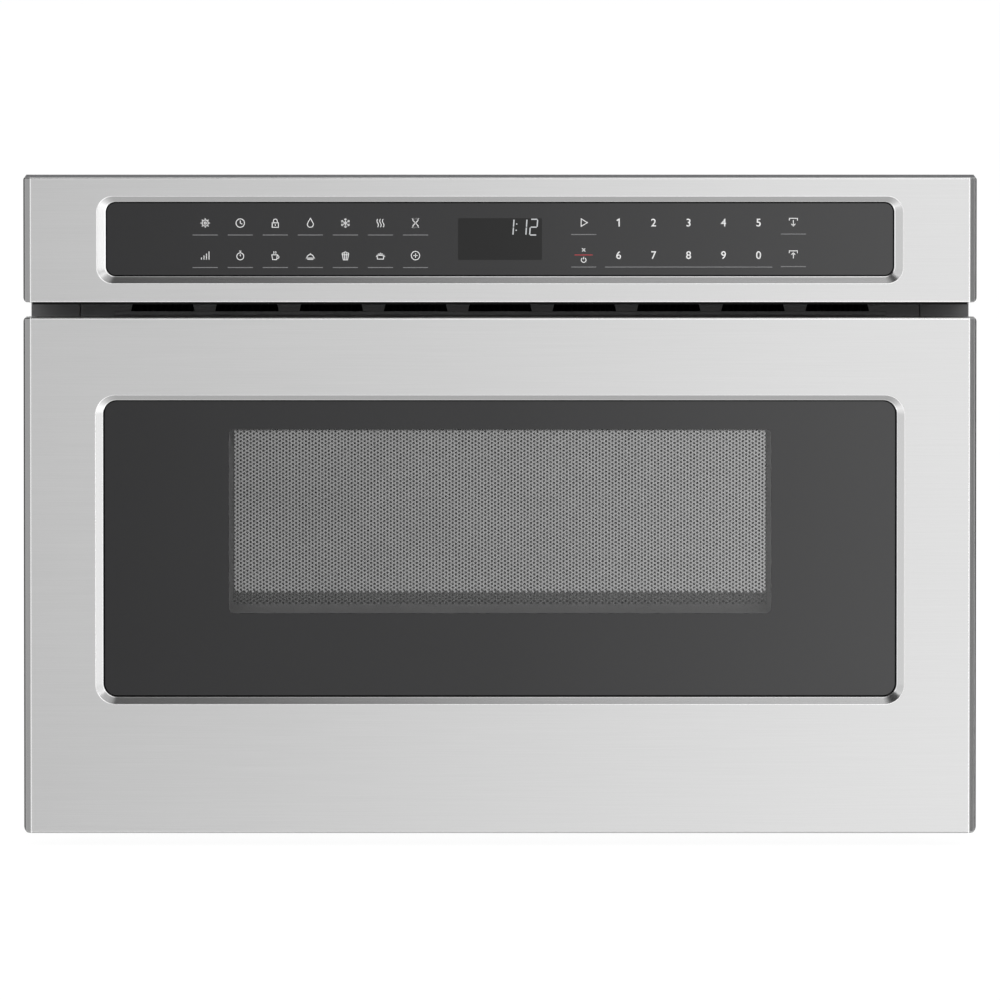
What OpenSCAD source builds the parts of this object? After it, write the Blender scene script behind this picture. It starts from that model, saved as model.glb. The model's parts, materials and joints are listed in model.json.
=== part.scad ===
// Built-in microwave drawer, 24 inch class, motor driven.
// X runs to the right, Y to the back and Z up, in millimetres. The origin is on the
// centre line, in the plane of the cabinet face, at the underside of the base plate.

/* [Casing] */
// Width of the casing that slides into the cabinet
casing_w = 556; // [540:1:680]
// Height of the casing
casing_h = 370; // [360:1:450]
// Depth of the casing behind the cabinet face
casing_d = 550; // [550:1:680]
// Thickness of the casing sheets
casing_t = 1; // [0.8:0.1:1.2]
// Thickness of the front plate and the mounting flanges
plate_t = 1.2; // [1:0.1:1.6]
// Free width between the casing and the cavity on each side
side_bay = 53; // [52:1:70]
// Free height under the cavity, for slides and drive
under_bay = 80; // [76:1:100]
// Free height above the cavity, for the microwave feed
top_bay = 98; // [96:1:120]
// Free depth behind the cavity, for the high-voltage parts
rear_bay = 122; // [120:1:150]

/* [Front] */
// How far the front stands out past each side of the casing
front_overlap = 25; // [24:1:40]
// How far the front stands out from the cabinet face
front_proud = 46; // [46:1:56]
// Height of the control panel
panel_h = 79.5; // [76:0.5:96]
// How far the control panel rises above the casing
panel_rise = 27; // [20:1:40]
// How far the drawer front hangs below the casing
drawer_drop = 21; // [15:1:40]
// Gap between the control panel and the drawer front
reveal_h = 9.5; // [8:0.5:12]
// Thickness of the stainless front skins
skin_t = 0.9; // [0.7:0.1:1.2]
// Radius of the rolled side edges of the skins
edge_r = 4.4; // [3:0.1:6]
// Depth of the side returns of the skins
skin_return = 40; // [36:1:42]
// Width of the finger notch in the drawer front's top edge
notch_w = 97; // [60:1:140]

/* [Glass] */
// Thickness of the front glasses
glass_t = 4; // [3:0.5:5]
// Gap around each glass
glass_gap = 0.5; // [0.3:0.1:1]
// Distance of the control glass from each side of the front
control_inset = 53; // [45:1:80]
// Distance of the control glass from the top of the control panel
control_drop = 16.3; // [12:0.1:20]
// Height of the control glass
control_h = 46; // [38:1:56]
// Corner radius of the control glass
control_r = 5.5; // [3:0.5:10]
// Depth and width of the bevel around the control glass
control_bevel = [3.5, 5.1]; // [2.5:0.1:7]
// Width and height of the display
display = [53.4, 26.6]; // [20:0.2:80]
// Distance of the window glass from each side of the front
window_glass_inset = 51.3; // [45:0.1:80]
// Distance of the window glass from the top of the drawer front
window_glass_drop = 54.7; // [48:0.1:70]
// Distance of the window glass from the bottom of the drawer front
window_glass_rise = 85.6; // [75:0.1:110]
// Corner radius of the window glass
window_glass_r = 8; // [5:0.5:14]
// Depth and width of the bevel around the window glass
window_bevel = [5, 4.6]; // [3:0.1:7]
// Black border of the window glass at each side, at the top and at the bottom
window_border = [80, 18.8, 52.9]; // [16:0.1:100]

/* [Cavity and tub] */
// Thickness of the cavity sheets
cavity_t = 0.8; // [0.6:0.1:1.2]
// Gap between the tub and the cavity on each side
tub_gap = 4; // [3:0.5:8]
// Thickness of the tub walls
tub_t = 2; // [1:0.5:3]
// Height of the tub above the cavity floor
tub_lift = 3; // [2:0.5:6]
// Distance of the tub rim below the cavity roof
tub_rim_drop = 14; // [8:1:40]
// Gap behind the tub
tub_back_gap = 10; // [6:1:30]
// Thickness of the ceramic plate on the tub floor
ceramic_t = 5; // [4:0.5:8]
// Depth of the choke around the cavity mouth
choke_d = 16; // [12:1:17]
// Width of the choke around the cavity mouth
choke_w = 22; // [18:1:24]

/* [Slides] */
// Travel of the drawer
travel = 395; // [300:1:400]
// Length of the slide members
slide_l = 500; // [480:1:520]
// Height of the slides
slide_h = 45; // [40:1:46]
// Height of the slides' centre line above the base
slide_z = 27; // [26:0.5:30]
// Sheet thickness of the slide members
slide_t = 1.5; // [1.2:0.1:1.6]
// Radius of the bearing balls
ball_r = 2.3; // [2:0.1:2.3]
// Clearance of each ball from its race
ball_gap = 0.1; // [0.05:0.05:0.2]

/* [Drive] */
// Gear module
gear_m = 1.25; // [1:0.05:1.3]
// Teeth of the pinions that run on the racks
rack_pinion_n = 20; // [18:1:22]
// Teeth of the gear on the cross shaft
drive_gear_n = 32; // [24:1:32]
// Teeth of the motor pinion
motor_pinion_n = 18; // [18:1:22]
// Width of the gears and racks
gear_w = 8; // [6:1:10]
// Arc taken off each tooth at the pitch circle, for backlash
tooth_play = 0.12; // [0.06:0.02:0.3]
// Radius of the cross shaft
shaft_r = 4; // [3:0.5:5]
// Radial clearance of shafts in their bearings
running_gap = 0.05; // [0.02:0.01:0.1]
// Height of the racks' pitch line above the base
rack_pitch_z = 36; // [34:0.5:38]

/* [Mounting] */
// Distance of the mounting screws from the side of the casing
mount_edge = 12; // [8:0.5:16]
// Distance between the mounting screws in height
mount_dz = 180; // [120:1:240]
// Radius of the mounting screw holes
mount_r = 2.4; // [2:0.1:3]
// Radius of the mains cord hole in the gland
cord_r = 5; // [4:0.5:6]

/* [Hidden] */
$fn = 48;

// Casing and front
casing_x = casing_w / 2;
wall_x = casing_x - casing_t;
front_x = casing_x + front_overlap;
front_y = -front_proud;
panel_z = [casing_h + panel_rise - panel_h, casing_h + panel_rise];
drawer_z = [-drawer_drop, panel_z[0] - reveal_h];

// Glasses and window
control_x = front_x - control_inset;
control_z = [panel_z[1] - control_drop - control_h, panel_z[1] - control_drop];
control_y = [front_y + control_bevel[0], front_y + control_bevel[0] + glass_t];
glass_x = front_x - window_glass_inset;
glass_z = [drawer_z[0] + window_glass_rise, drawer_z[1] - window_glass_drop];
glass_y = [front_y + window_bevel[0], front_y + window_bevel[0] + glass_t];
window_x = glass_x - window_border[0];
window_z = [glass_z[0] + window_border[2], glass_z[1] - window_border[1]];

// Cavity and tub
cavity_x = casing_x - side_bay;
cavity_y = casing_d - rear_bay;
cavity_z = [under_bay, casing_h - top_bay];
roof_top = cavity_z[1] + cavity_t;
tub_x = cavity_x - tub_gap;
tub_z = [cavity_z[0] + tub_lift, cavity_z[1] - tub_rim_drop];
choke_lap = 1; // the choke starts this far outside the cavity mouth
choke_r = 10; // inner corner radius of the choke

// Layers of the drawer front, from the front plate forwards
seal_gap = 1;
cover_t = 1.8;
cover_y = [-plate_t - seal_gap - cover_t, -plate_t - seal_gap];
frame_t = 1.2;
choke_y = [cover_y[0] - choke_d, cover_y[0]];
choke_plate_t = 1;
choke_plate_y = choke_y[0] - choke_plate_t;
frame_y = choke_plate_y - frame_t;
tub_front = cover_y[0] - 1;
tub_y = [tub_front, cavity_y - tub_back_gap];
pane_t = 3;
view_lap = 4.5; // the steel openings are this much larger than the clear window
view_x = window_x + view_lap;
view_z = [window_z[0] - view_lap, window_z[1] + view_lap];

// Slides: distances run from the casing wall inwards
web_gap = 2.5;
outer_half = slide_h / 2;
race_gap = 2 * (ball_r + ball_gap);
middle_half = outer_half - slide_t - race_gap;
inner_half = middle_half - slide_t - race_gap + 0.1;
outer_depth = 12;
middle_web = slide_t + web_gap;
inner_web = middle_web + 9;
slide_stack = inner_web + slide_t;
slide_y = [10, 10 + slide_l];
cage_t = 0.6;
cage_l = 200;
cage_y = [slide_y[0] + 150, slide_y[0] + 150 + cage_l];
balls_per_row = 7;

// Rails and racks
rail_t = 1.5;
rail_x = wall_x - slide_stack;
rail_z = [slide_z - 19, slide_z + 21];
rack_set = 13;
rack_x = [rail_x - rail_t - rack_set - gear_w, rail_x - rail_t - rack_set];
pinion_r = gear_m * rack_pinion_n / 2;
shaft_y = 24;
shaft_z = rack_pitch_z - pinion_r;
drive_r = gear_m * drive_gear_n / 2;
motor_r = gear_m * motor_pinion_n / 2;
motor_y = shaft_y + drive_r + motor_r;
tooth_pitch = PI * gear_m;
rack_n = ceil((travel + 2 * tooth_pitch + shaft_y - 5) / tooth_pitch);
drive_gear_x = 150;
output_r = 3; // radius of the motor's output shaft
addendum = gear_m;
dedendum = 1.25 * gear_m;
pressure_angle = 20;

// Front edges of the casing: the sides end behind the flanges, so that the flanges lie on the cabinet
side_y = [2.5, casing_d - casing_t];
flange_x = casing_x - 10;
plate_x = flange_x - 0.5;

// Openings of the front plate beside the cavity mouth
slide_slot_x = [rack_x[0] - 2, wall_x];
slide_slot_z = [2, slide_z + outer_half + 2.5];
hook_x = [cavity_x + choke_lap + choke_w + 6, cavity_x + choke_lap + choke_w + 10];
hook_z = [cavity_z[1] - 47, cavity_z[1] - 32];
hook_slot_gap = 3;
switch_y = [6, 34];
switch_z = [hook_z[1] + 5, hook_z[1] + 21];
louvre_z = [panel_z[0] - 10.5, panel_z[0] - 2.5];
louvre_pitch = 53.8;
louvre_n = floor((casing_w - 70) / louvre_pitch);

// Rear bay and top bay
stirrer_y = cavity_y / 2;
dome_r = 96;
dome_h = 23;
guide_z = [roof_top + dome_h, roof_top + dome_h + 34];
magnetron_y = cavity_y + 47;
blower_x = 165;
blower_z = 190;
blower_y = [cavity_y + 34, cavity_y + 84];
rear_x = rack_x[0] - 8; // low parts in the rear bay stay inside this
transformer_x = -rear_x + 55;
capacitor_x = transformer_x + 99;
diode_x = capacitor_x + 38;

// Fasteners
screw_r = 1.5;
screw_gap = 0.2;
back_screws = [for (x = [-1, 0, 1], z = [12, casing_h - 12]) [x * (casing_x - 14), z]];
top_screws = [for (s = [-1, 1], y = [60, casing_d / 2, casing_d - 60]) [s * (casing_x - 8), y]];
door_screw_z = [14, slide_z + 15];

// ---------------------------------------------------------------- helpers

// A box from its low and high values along X, Y and Z
module slab(x, y, z)
  translate([x[0], y[0], z[0]]) cube([x[1] - x[0], y[1] - y[0], z[1] - z[0]]);

// Children drawn for the right side go to the left side when s is -1
module on_side(s) mirror([s < 0 ? 1 : 0, 0, 0]) children();

// Children on both sides
module both_sides() for (s = [-1, 1]) on_side(s) children();

// Children drawn flat, with Z towards the viewer, stand up at depth y
module standing(y) translate([0, y, 0]) rotate([90, 0, 0]) children();

module rod_x(x, y, z, r) translate([x[0], y, z]) rotate([0, 90, 0]) cylinder(h = x[1] - x[0], r = r);
module rod_y(x, y, z, r) translate([x, y[0], z]) rotate([-90, 0, 0]) cylinder(h = y[1] - y[0], r = r);
module rod_z(x, y, z, r) translate([x, y, z[0]]) cylinder(h = z[1] - z[0], r = r);

// A rectangle with round corners, centred
module round_rect(w, h, r) {
  square([w, h - 2 * r], center = true);
  square([w - 2 * r, h], center = true);
  for (x = [-1, 1], y = [-1, 1]) translate([x * (w / 2 - r), y * (h / 2 - r)]) circle(r);
}

// Sweeps a flat profile round a rectangle with round corners.
// The profile's X runs out from the corner centres, so x = r lies on the rectangle.
module rim(w, h, r)
  for (turn = [0 : 3]) {
    across = turn % 2 == 0 ? w : h;
    along = (turn % 2 == 0 ? h : w) - 2 * r;
    rotate(turn * 90) translate([across / 2 - r, along / 2, 0]) {
      rotate([90, 0, 0]) linear_extrude(along) children();
      rotate_extrude(angle = 90) children();
    }
  }

// A plate with round corners, standing from depth y[0] to y[1]
module standing_plate(x, y, z, r)
  standing(y[1]) translate([0, (z[0] + z[1]) / 2, 0])
    linear_extrude(y[1] - y[0]) round_rect(2 * x, z[1] - z[0], r);

// A standing rectangular tube of outer half width x, open to the front and the back
module standing_tube(x, y, z, t)
  difference() {
    slab([-x, x], y, z);
    slab([-x + t, x - t], [y[0] - 1, y[1] + 1], [z[0] + t, z[1] - t]);
  }

// A cross-head screw with its head towards +Z
module screw(head_r, head_h, shank_l) {
  slot = head_r / 4;
  translate([0, 0, -shank_l]) cylinder(h = shank_l, r = screw_r);
  difference() {
    cylinder(h = head_h, r1 = head_r, r2 = head_r * 0.8);
    for (a = [0, 90]) rotate(a)
      translate([-head_r / 2, -slot / 2, head_h / 2]) cube([head_r, slot, head_h]);
  }
}

// Involute gears: the flank's angle at radius r, counted from where it leaves the base circle
function flank_turn(base, r) =
  let (t = sqrt(max(0, pow(r / base, 2) - 1))) t * 180 / PI - atan(t);

// Outline of a gear with n teeth, the first one centred on the local X axis
function gear_outline(n) =
  let (
    r = gear_m * n / 2,
    base = r * cos(pressure_angle),
    tip = r + addendum,
    root = r - dedendum,
    start = max(base, root),
    steps = 4,
    half = 90 / n - tooth_play / 2 / r * 180 / PI + flank_turn(base, r),
    flank = [for (i = [0 : steps]) let (q = start + (tip - start) * i / steps)
      [q, half - flank_turn(base, q)]],
    right = concat([[root, half]], flank)
  )
  [for (i = [0 : n - 1]) each concat(
    [for (p = right) let (a = 360 * i / n - p[1]) p[0] * [cos(a), sin(a)]],
    [for (k = [len(right) - 1 : -1 : 0]) let (p = right[k], a = 360 * i / n + p[1])
      p[0] * [cos(a), sin(a)]]
  )];

// A gear along X whose first tooth points at angle turn, counted from +Y to +Z
module gear_x(x, y, z, n, turn, bore)
  translate([x[0], y, z]) rotate([90, 0, 90]) linear_extrude(x[1] - x[0]) difference() {
    rotate(turn) polygon(gear_outline(n));
    circle(bore);
  }

// Outline of a rack in the YZ plane with its teeth down, one of them centred at shaft_y
function rack_outline(top) =
  let (
    first = ceil((5 + tooth_pitch / 2 - shaft_y) / tooth_pitch),
    lean = tan(pressure_angle),
    half = tooth_pitch / 4 - tooth_play / 2,
    tip = half - addendum * lean,
    root = half + dedendum * lean,
    start = shaft_y + first * tooth_pitch,
    end = start + (rack_n - 1) * tooth_pitch
  )
  concat(
    [[start - tooth_pitch / 2, top], [start - tooth_pitch / 2, rack_pitch_z + dedendum]],
    [for (i = [0 : rack_n - 1]) let (y = start + i * tooth_pitch) each [
      [y - root, rack_pitch_z + dedendum], [y - tip, rack_pitch_z - addendum],
      [y + tip, rack_pitch_z - addendum], [y + root, rack_pitch_z + dedendum]
    ]],
    [[end + tooth_pitch / 2, rack_pitch_z + dedendum], [end + tooth_pitch / 2, top]]
  );

// Slots in a row along X, through a sheet that spans y and z
module slot_row(x0, n, pitch, w, y, z)
  for (i = [0 : n - 1]) slab([x0 + i * pitch, x0 + i * pitch + w], y, z);

// ---------------------------------------------------------------- casing

module base_plate() color("silver") difference() {
  slab([-casing_x, casing_x], [-plate_t, casing_d], [0, casing_t]);
  slot_row(blower_x - 45, 10, 10, 4, [casing_d - 90, casing_d - 30], [-1, casing_t + 1]);
}

module side_panel(s) color("silver") on_side(s) {
  flange = 12;
  difference() {
    slab([wall_x, casing_x], side_y, [casing_t, casing_h - casing_t]);
    for (i = [0 : 5])
      slab([wall_x - 1, casing_x + 1], [casing_d - 90 + i * 12, casing_d - 85 + i * 12],
        [casing_h / 2, casing_h / 2 + 60]);
  }
  slab([wall_x - flange, wall_x], [30, casing_d - 30], [casing_t, 2 * casing_t]);
  difference() {
    slab([wall_x - flange, wall_x], [30, casing_d - 30], [casing_h - 2 * casing_t, casing_h - casing_t]);
    for (p = top_screws) rod_z(abs(p[0]), p[1], [casing_h - 3 * casing_t, casing_h], screw_r + screw_gap);
  }
}
module side_panel_left() side_panel(-1);
module side_panel_right() side_panel(1);

module top_plate() color("silver") difference() {
  slab([-casing_x, casing_x], [0, casing_d], [casing_h - casing_t, casing_h]);
  for (p = top_screws) rod_z(p[0], p[1], [casing_h - 2 * casing_t, casing_h + 1], screw_r + screw_gap);
  slot_row(-70, 12, 12, 5, [casing_d - 80, casing_d - 30], [casing_h - casing_t - 1, casing_h + 1]);
}

module back_plate() color("silver") {
  gland = gland_place();
  difference() {
    slab([-casing_x, casing_x], [casing_d - casing_t, casing_d], [casing_t, casing_h - casing_t]);
    for (p = back_screws) rod_y(p[0], [casing_d - 5, casing_d + 1], p[1], screw_r + screw_gap);
    rod_y(gland[0], [casing_d - 5, casing_d + 1], gland[1], cord_r + 3);
    for (row = [0 : 6])
      slot_row(blower_x - 40, 6, 14, 9, [casing_d - 5, casing_d + 1],
        [blower_z - 42 + row * 12, blower_z - 38 + row * 12]);
  }
}

// Centre of the cord gland in the back plate: [x, z]
function gland_place() = [-casing_x + 60, casing_h - 50];

module front_plate() color("silver") difference() {
  slab([-plate_x, plate_x], [-plate_t, 0], [casing_t, casing_h]);
  slab([-cavity_x, cavity_x], [-plate_t - 1, 1], cavity_z);
  both_sides() {
    slab(slide_slot_x, [-plate_t - 1, 1], slide_slot_z);
    slab([hook_x[0] - hook_slot_gap, hook_x[1] + hook_slot_gap], [-plate_t - 1, 1],
      [hook_z[0] - hook_slot_gap, hook_z[1] + hook_slot_gap]);
  }
  slab([-casing_x + 36, casing_x - 36], [-plate_t - 1, 1], [louvre_z[0] - 2, louvre_z[1] + 2]);
}

// An angle: the face lies on the cabinet, the web is fixed inside the casing wall
module mounting_flange(s) color("silver") on_side(s) {
  web_d = 22;
  difference() {
    union() {
      slab([flange_x, front_x - 4], [-plate_t, 0], [4, casing_h - 4]);
      slab([wall_x - plate_t, wall_x], [0, web_d], [slide_slot_z[1] + 4, casing_h - 6]);
    }
    slab([flange_x - 1, casing_x], [-plate_t - 1, 1], slide_slot_z);
    for (z = [-1, 1]) rod_y(casing_x + mount_edge, [-plate_t - 1, 1], casing_h / 2 + z * mount_dz / 2, mount_r);
  }
}
module mounting_flange_left() mounting_flange(-1);
module mounting_flange_right() mounting_flange(1);

module cord_gland() color("dimgray") {
  p = gland_place();
  difference() {
    union() {
      rod_y(p[0], [casing_d - 9, casing_d + 3], p[1], cord_r + 3);
      rod_y(p[0], [casing_d, casing_d + 3], p[1], cord_r + 6);
      rod_y(p[0], [casing_d - casing_t - 3, casing_d - casing_t], p[1], cord_r + 5);
    }
    rod_y(p[0], [casing_d - 10, casing_d + 4], p[1], cord_r);
  }
}

module casing_screws() color("gray") {
  for (p = back_screws) translate([p[0], casing_d, p[1]]) rotate([-90, 0, 0]) screw(4, 2, casing_t + 4);
  for (p = top_screws) translate([p[0], p[1], casing_h]) screw(4, 2, 2 * casing_t + 3);
}

// ---------------------------------------------------------------- cavity and microwave feed

// Floor and both sides, bent from one sheet
module cavity_wrap() color("whitesmoke") {
  t = cavity_t;
  slab([-cavity_x - t, cavity_x + t], [0, cavity_y], [cavity_z[0] - t, cavity_z[0]]);
  difference() {
    both_sides() slab([cavity_x, cavity_x + t], [0, cavity_y], cavity_z);
    for (y = [-8, 0, 8], z = [-8, 0, 8])
      rod_x([cavity_x - 1, cavity_x + t + 1], lamp_place()[0] + y, lamp_place()[1] + z, 1.5);
  }
}

// Centre of the lamp on the cavity's right side: [y, z]
function lamp_place() = [cavity_y - 120, cavity_z[1] - 45];

module cavity_roof() color("whitesmoke") difference() {
  slab([-cavity_x - cavity_t, cavity_x + cavity_t], [0, cavity_y], [cavity_z[1], roof_top]);
  rod_z(0, stirrer_y, [cavity_z[1] - 1, roof_top + 1], dome_r - 4);
}

module cavity_back() color("whitesmoke")
  slab([-cavity_x - cavity_t, cavity_x + cavity_t], [cavity_y, cavity_y + cavity_t],
    [cavity_z[0] - cavity_t, roof_top]);

module stirrer_dome() color("silver") translate([0, stirrer_y, roof_top]) rotate_extrude($fn = 96) {
  hole_r = 12;
  translate([dome_r - 1, 0]) square([9, 1]);
  translate([dome_r - 1, 0]) square([1, dome_h]);
  translate([hole_r, dome_h - 1]) square([dome_r - hole_r, 1]);
}

module stirrer_cover() color("ivory") {
  half = dome_r + 24;
  clip = 4;
  translate([0, stirrer_y, cavity_z[1] - 1.6]) linear_extrude(1.6) round_rect(2 * half, 2 * half, 10);
  for (x = [-1, 1], y = [-1, 1])
    rod_z(x * (half - 12), stirrer_y + y * (half - 12), [cavity_z[1] - 3, cavity_z[1] - 1.6], clip);
}

module waveguide() color("silver") {
  half = 42;
  t = 1;
  y = [stirrer_y - 60, magnetron_y + 42];
  difference() {
    slab([-half, half], y, guide_z);
    slab([-half + t, half - t], [y[0] + t, y[1] - t], [guide_z[0] + t, guide_z[1] - t]);
    rod_z(0, stirrer_y, [guide_z[0] - 1, guide_z[0] + 5], 12);
    rod_z(0, stirrer_y, [guide_z[1] - 5, guide_z[1] + 1], 6);
    rod_z(0, magnetron_y, [guide_z[0] - 1, guide_z[0] + 5], 12);
  }
}

module stirrer_motor() color("goldenrod") difference() {
  union() {
    rod_z(0, stirrer_y, [guide_z[1], guide_z[1] + 16], 24);
    translate([0, stirrer_y, guide_z[1]]) linear_extrude(1.5) round_rect(72, 16, 6);
    slab([-9, 9], [stirrer_y + 20, stirrer_y + 32], [guide_z[1] + 3, guide_z[1] + 13]);
  }
  rod_z(0, stirrer_y, [guide_z[1] - 1, guide_z[1] + 9], 3 + running_gap);
  for (x = [-1, 1]) rod_z(x * 30, stirrer_y, [guide_z[1] - 1, guide_z[1] + 3], 2);
}

module stirrer() color("silver") {
  z = roof_top + 6;
  shaft = 3;
  rod_z(0, stirrer_y, [z - 4, guide_z[1] + 7], shaft);
  rod_z(0, stirrer_y, [z - 4, z + 4], 9);
  for (i = [0 : 3]) translate([0, stirrer_y, z]) rotate(i * 90)
    translate([6, -11, -3.4]) rotate([18, 0, 0]) cube([74 + 4 * (i % 2), 23, 0.9]);
}

module magnetron() color("darkgray") translate([0, magnetron_y, guide_z[0]]) {
  yoke = [42, 30, 3]; // half width, half depth, sheet
  top = -3;
  low = -80;
  rod_z(0, 0, [0, 19], 8);
  difference() {
    rod_z(0, 0, [top, 0], 16);
    rod_z(0, 0, [top - 1, 1], 10);
  }
  rod_z(0, 0, [top, 0], 10);
  difference() {
    slab([-yoke[0], yoke[0]], [-yoke[1], yoke[1]], [low, top]);
    slab([-yoke[0] - 1, yoke[0] + 1], [-yoke[1] + yoke[2], yoke[1] - yoke[2]], [low + yoke[2], top - yoke[2]]);
  }
  rod_z(0, 0, [low + yoke[2], top - yoke[2]], 19);
  for (z = [low + yoke[2], top - yoke[2] - 7]) rod_z(0, 0, [z, z + 7], 26);
  for (i = [0 : 8]) slab([-yoke[0] + 2, yoke[0] - 2], [-yoke[1] + yoke[2], yoke[1] - yoke[2]],
    [low + 14 + i * 6, low + 14.6 + i * 6]);
  slab([-30, 30], [-27, 27], [low - 25, low]);
  slab([-42, -30], [-8, 8], [low - 20, low - 6]);
}

module transformer() color("saddlebrown") translate([transformer_x, cavity_y + 60, casing_t]) {
  core = [48, 23, 84]; // half width, half depth, height
  leg = 16;
  foot = 2;
  slab([-52, 52], [-core[1], core[1]], [0, foot]);
  difference() {
    slab([-core[0], core[0]], [-core[1], core[1]], [foot, core[2]]);
    for (s = [-1, 1]) slab(s > 0 ? [leg, core[0] - 8] : [8 - core[0], -leg],
      [-core[1] - 1, core[1] + 1], [foot + 10, core[2] - 10]);
  }
  for (z = [[foot + 11, 42], [46, core[2] - 11]]) difference() {
    slab([-core[0] + 9, core[0] - 9], [-core[1] - 14, core[1] + 14], z);
    slab([-leg, leg], [-core[1], core[1]], [z[0] - 1, z[1] + 1]);
  }
}

module hv_capacitor() color("lightgray") translate([capacitor_x, cavity_y + 66, casing_t]) {
  half = [10, 16]; // half straight length, end radius
  can_h = 96;
  linear_extrude(can_h) {
    square(2 * half, center = true);
    for (s = [-1, 1]) translate([s * half[0], 0]) circle(half[1]);
  }
  for (s = [-1, 1]) {
    rod_z(s * 10, 0, [can_h, can_h + 5], 5);
    slab([s * 10 - 3, s * 10 + 3], [-0.5, 0.5], [can_h + 5, can_h + 14]);
  }
}

module hv_diode() color("black") translate([diode_x, cavity_y + 66, casing_t]) {
  slab([-6, 6], [-10, 10], [0, 1.5]);
  slab([-6, 6], [-10, -8.5], [1.5, 30]);
  rod_y(0, [-8.5, 14], 22, 5);
}

// ---------------------------------------------------------------- cooling

// Spiral outline of the blower with its outlet towards -X
module scroll(shrink) {
  turn = 300;
  polygon([for (a = [0 : 10 : turn]) let (r = 46 + 24 * a / turn - shrink, b = 90 - turn + a) r * [cos(b), sin(b)]]);
  translate([-95 - shrink, 42 + shrink]) square([95 + shrink, 28 - 2 * shrink]);
}

module blower_housing() color("dimgray") translate([blower_x, 0, blower_z]) {
  depth = blower_y[1] - blower_y[0];
  t = 1.5;
  inlet = 34;
  standing(blower_y[1]) difference() {
    linear_extrude(depth) scroll(0);
    translate([0, 0, t]) linear_extrude(depth - 2 * t) scroll(t);
    translate([0, 0, -1]) cylinder(h = t + 2, r = inlet);
    translate([0, 0, depth - t - 1]) cylinder(h = t + 2, r = 6);
  }
  slab([-12, 12], [blower_y[0], blower_y[1]], [casing_t - blower_z, -54]);
}

module blower_wheel() color("gray") translate([blower_x, 0, blower_z]) {
  y = [blower_y[0] + 5, blower_y[1] - 4];
  tip = 38;
  blades = 24;
  rod_y(0, [y[0] - 18, y[0] + 14], 0, 2.5);
  rod_y(0, [y[0], y[0] + 1.5], 0, tip);
  rod_y(0, [y[0], y[0] + 14], 0, 7);
  difference() {
    rod_y(0, [y[1] - 2, y[1]], 0, tip);
    rod_y(0, [y[1] - 3, y[1] + 1], 0, tip - 6);
  }
  for (i = [0 : blades - 1]) rotate([0, i * 360 / blades, 0])
    translate([tip - 5.5, y[0] + 0.5, 0]) rotate([0, 28, 0]) translate([-3, 0, -0.4]) cube([6, y[1] - y[0] - 1, 0.8]);
}

module blower_motor() color("silver") translate([blower_x, 0, blower_z]) difference() {
  union() {
    rod_y(0, [blower_y[0] - 26, blower_y[0]], 0, 26);
    slab([-34, 34], [blower_y[0] - 1.5, blower_y[0]], [-9, 9]);
  }
  rod_y(0, [blower_y[0] - 20, blower_y[0] + 1], 0, 2.5 + running_gap);
}

// ---------------------------------------------------------------- electronics

module filter_board() color("seagreen") translate([cavity_x - 100, cavity_y - 90, roof_top]) {
  post_h = 16;
  board = [130, 84, 1.6];
  for (x = [8, board[0] - 8], y = [8, board[1] - 8]) rod_z(x, y, [0, post_h], 3);
  translate([0, 0, post_h]) {
    cube(board);
    slab([14, 40], [14, 40], [board[2], 24]);
    slab([50, 78], [12, 26], [board[2], 20]);
    rod_z(30, 62, [board[2], 20], 14);
    for (i = [0 : 2]) slab([56 + i * 20, 70 + i * 20], [48, 66], [board[2], 17]);
    rod_x([88, 110], 22, 8, 4);
    slab([88, 110], [18, 26], [board[2], 5]);
  }
}

module cavity_lamp() color("gold") {
  p = lamp_place();
  x = cavity_x + cavity_t;
  bulb_x = x + 17;
  difference() {
    slab([x, x + 36], [p[0] - 17, p[0] + 17], [p[1] - 17, p[1] + 17]);
    slab([x - 1, x + 34.5], [p[0] - 15.5, p[0] + 15.5], [p[1] - 15.5, p[1] + 15.5]);
  }
  translate([bulb_x, p[0], p[1]]) sphere(9);
  rod_x([bulb_x, x + 34.5], p[0], p[1], 6);
}

module thermal_cutouts() color("black") for (y = [cavity_y - 60, 70]) {
  translate([-cavity_x + 70, y, roof_top]) {
    cylinder(h = 2, r = 12);
    cylinder(h = 10, r = 8);
    for (s = [-1, 1]) slab([s * 4 - 0.5, s * 4 + 0.5], [-3, 3], [10, 17]);
  }
}

module control_board() color("darkgreen") {
  x = control_x - 18;
  z = [control_z[0] + 2, control_z[1] - 2];
  y = control_y[1] + 5;
  slab([-x, x], [y, y + 1.6], z);
  pitch = x / 5;
  for (i = [-4 : 4]) slab([i * pitch - 9, i * pitch + 9], [y + 1.6, y + 4], [z[0] + 6, z[0] + 18]);
  for (i = [-2 : 2]) rod_y((2 * i + 0.5) * pitch, [y + 1.6, y + 9], z[1] - 10, 5);
  slab([-30, 10], [y + 1.6, y + 5], [z[0] + 21, z[1] - 4]);
}

module display_module() color("black")
  slab([-display[0] / 2, display[0] / 2], [control_y[1], control_y[1] + 5],
    [control_z[0] + (control_h - display[1]) / 2, control_z[1] - (control_h - display[1]) / 2]);

// ---------------------------------------------------------------- fronts

// Plan of a front skin: flat face, rolled side edges and side returns
module skin_plan() {
  r = edge_r;
  translate([-front_x + r, front_y]) square([2 * (front_x - r), skin_t]);
  for (s = [-1, 1]) scale([s, 1]) {
    translate([front_x - skin_t, front_y + r]) square([skin_t, skin_return - r]);
    intersection() {
      translate([front_x - r, front_y + r]) difference() {
        circle(r);
        circle(r - skin_t);
      }
      translate([front_x - r, front_y]) square(r);
    }
  }
}

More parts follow.
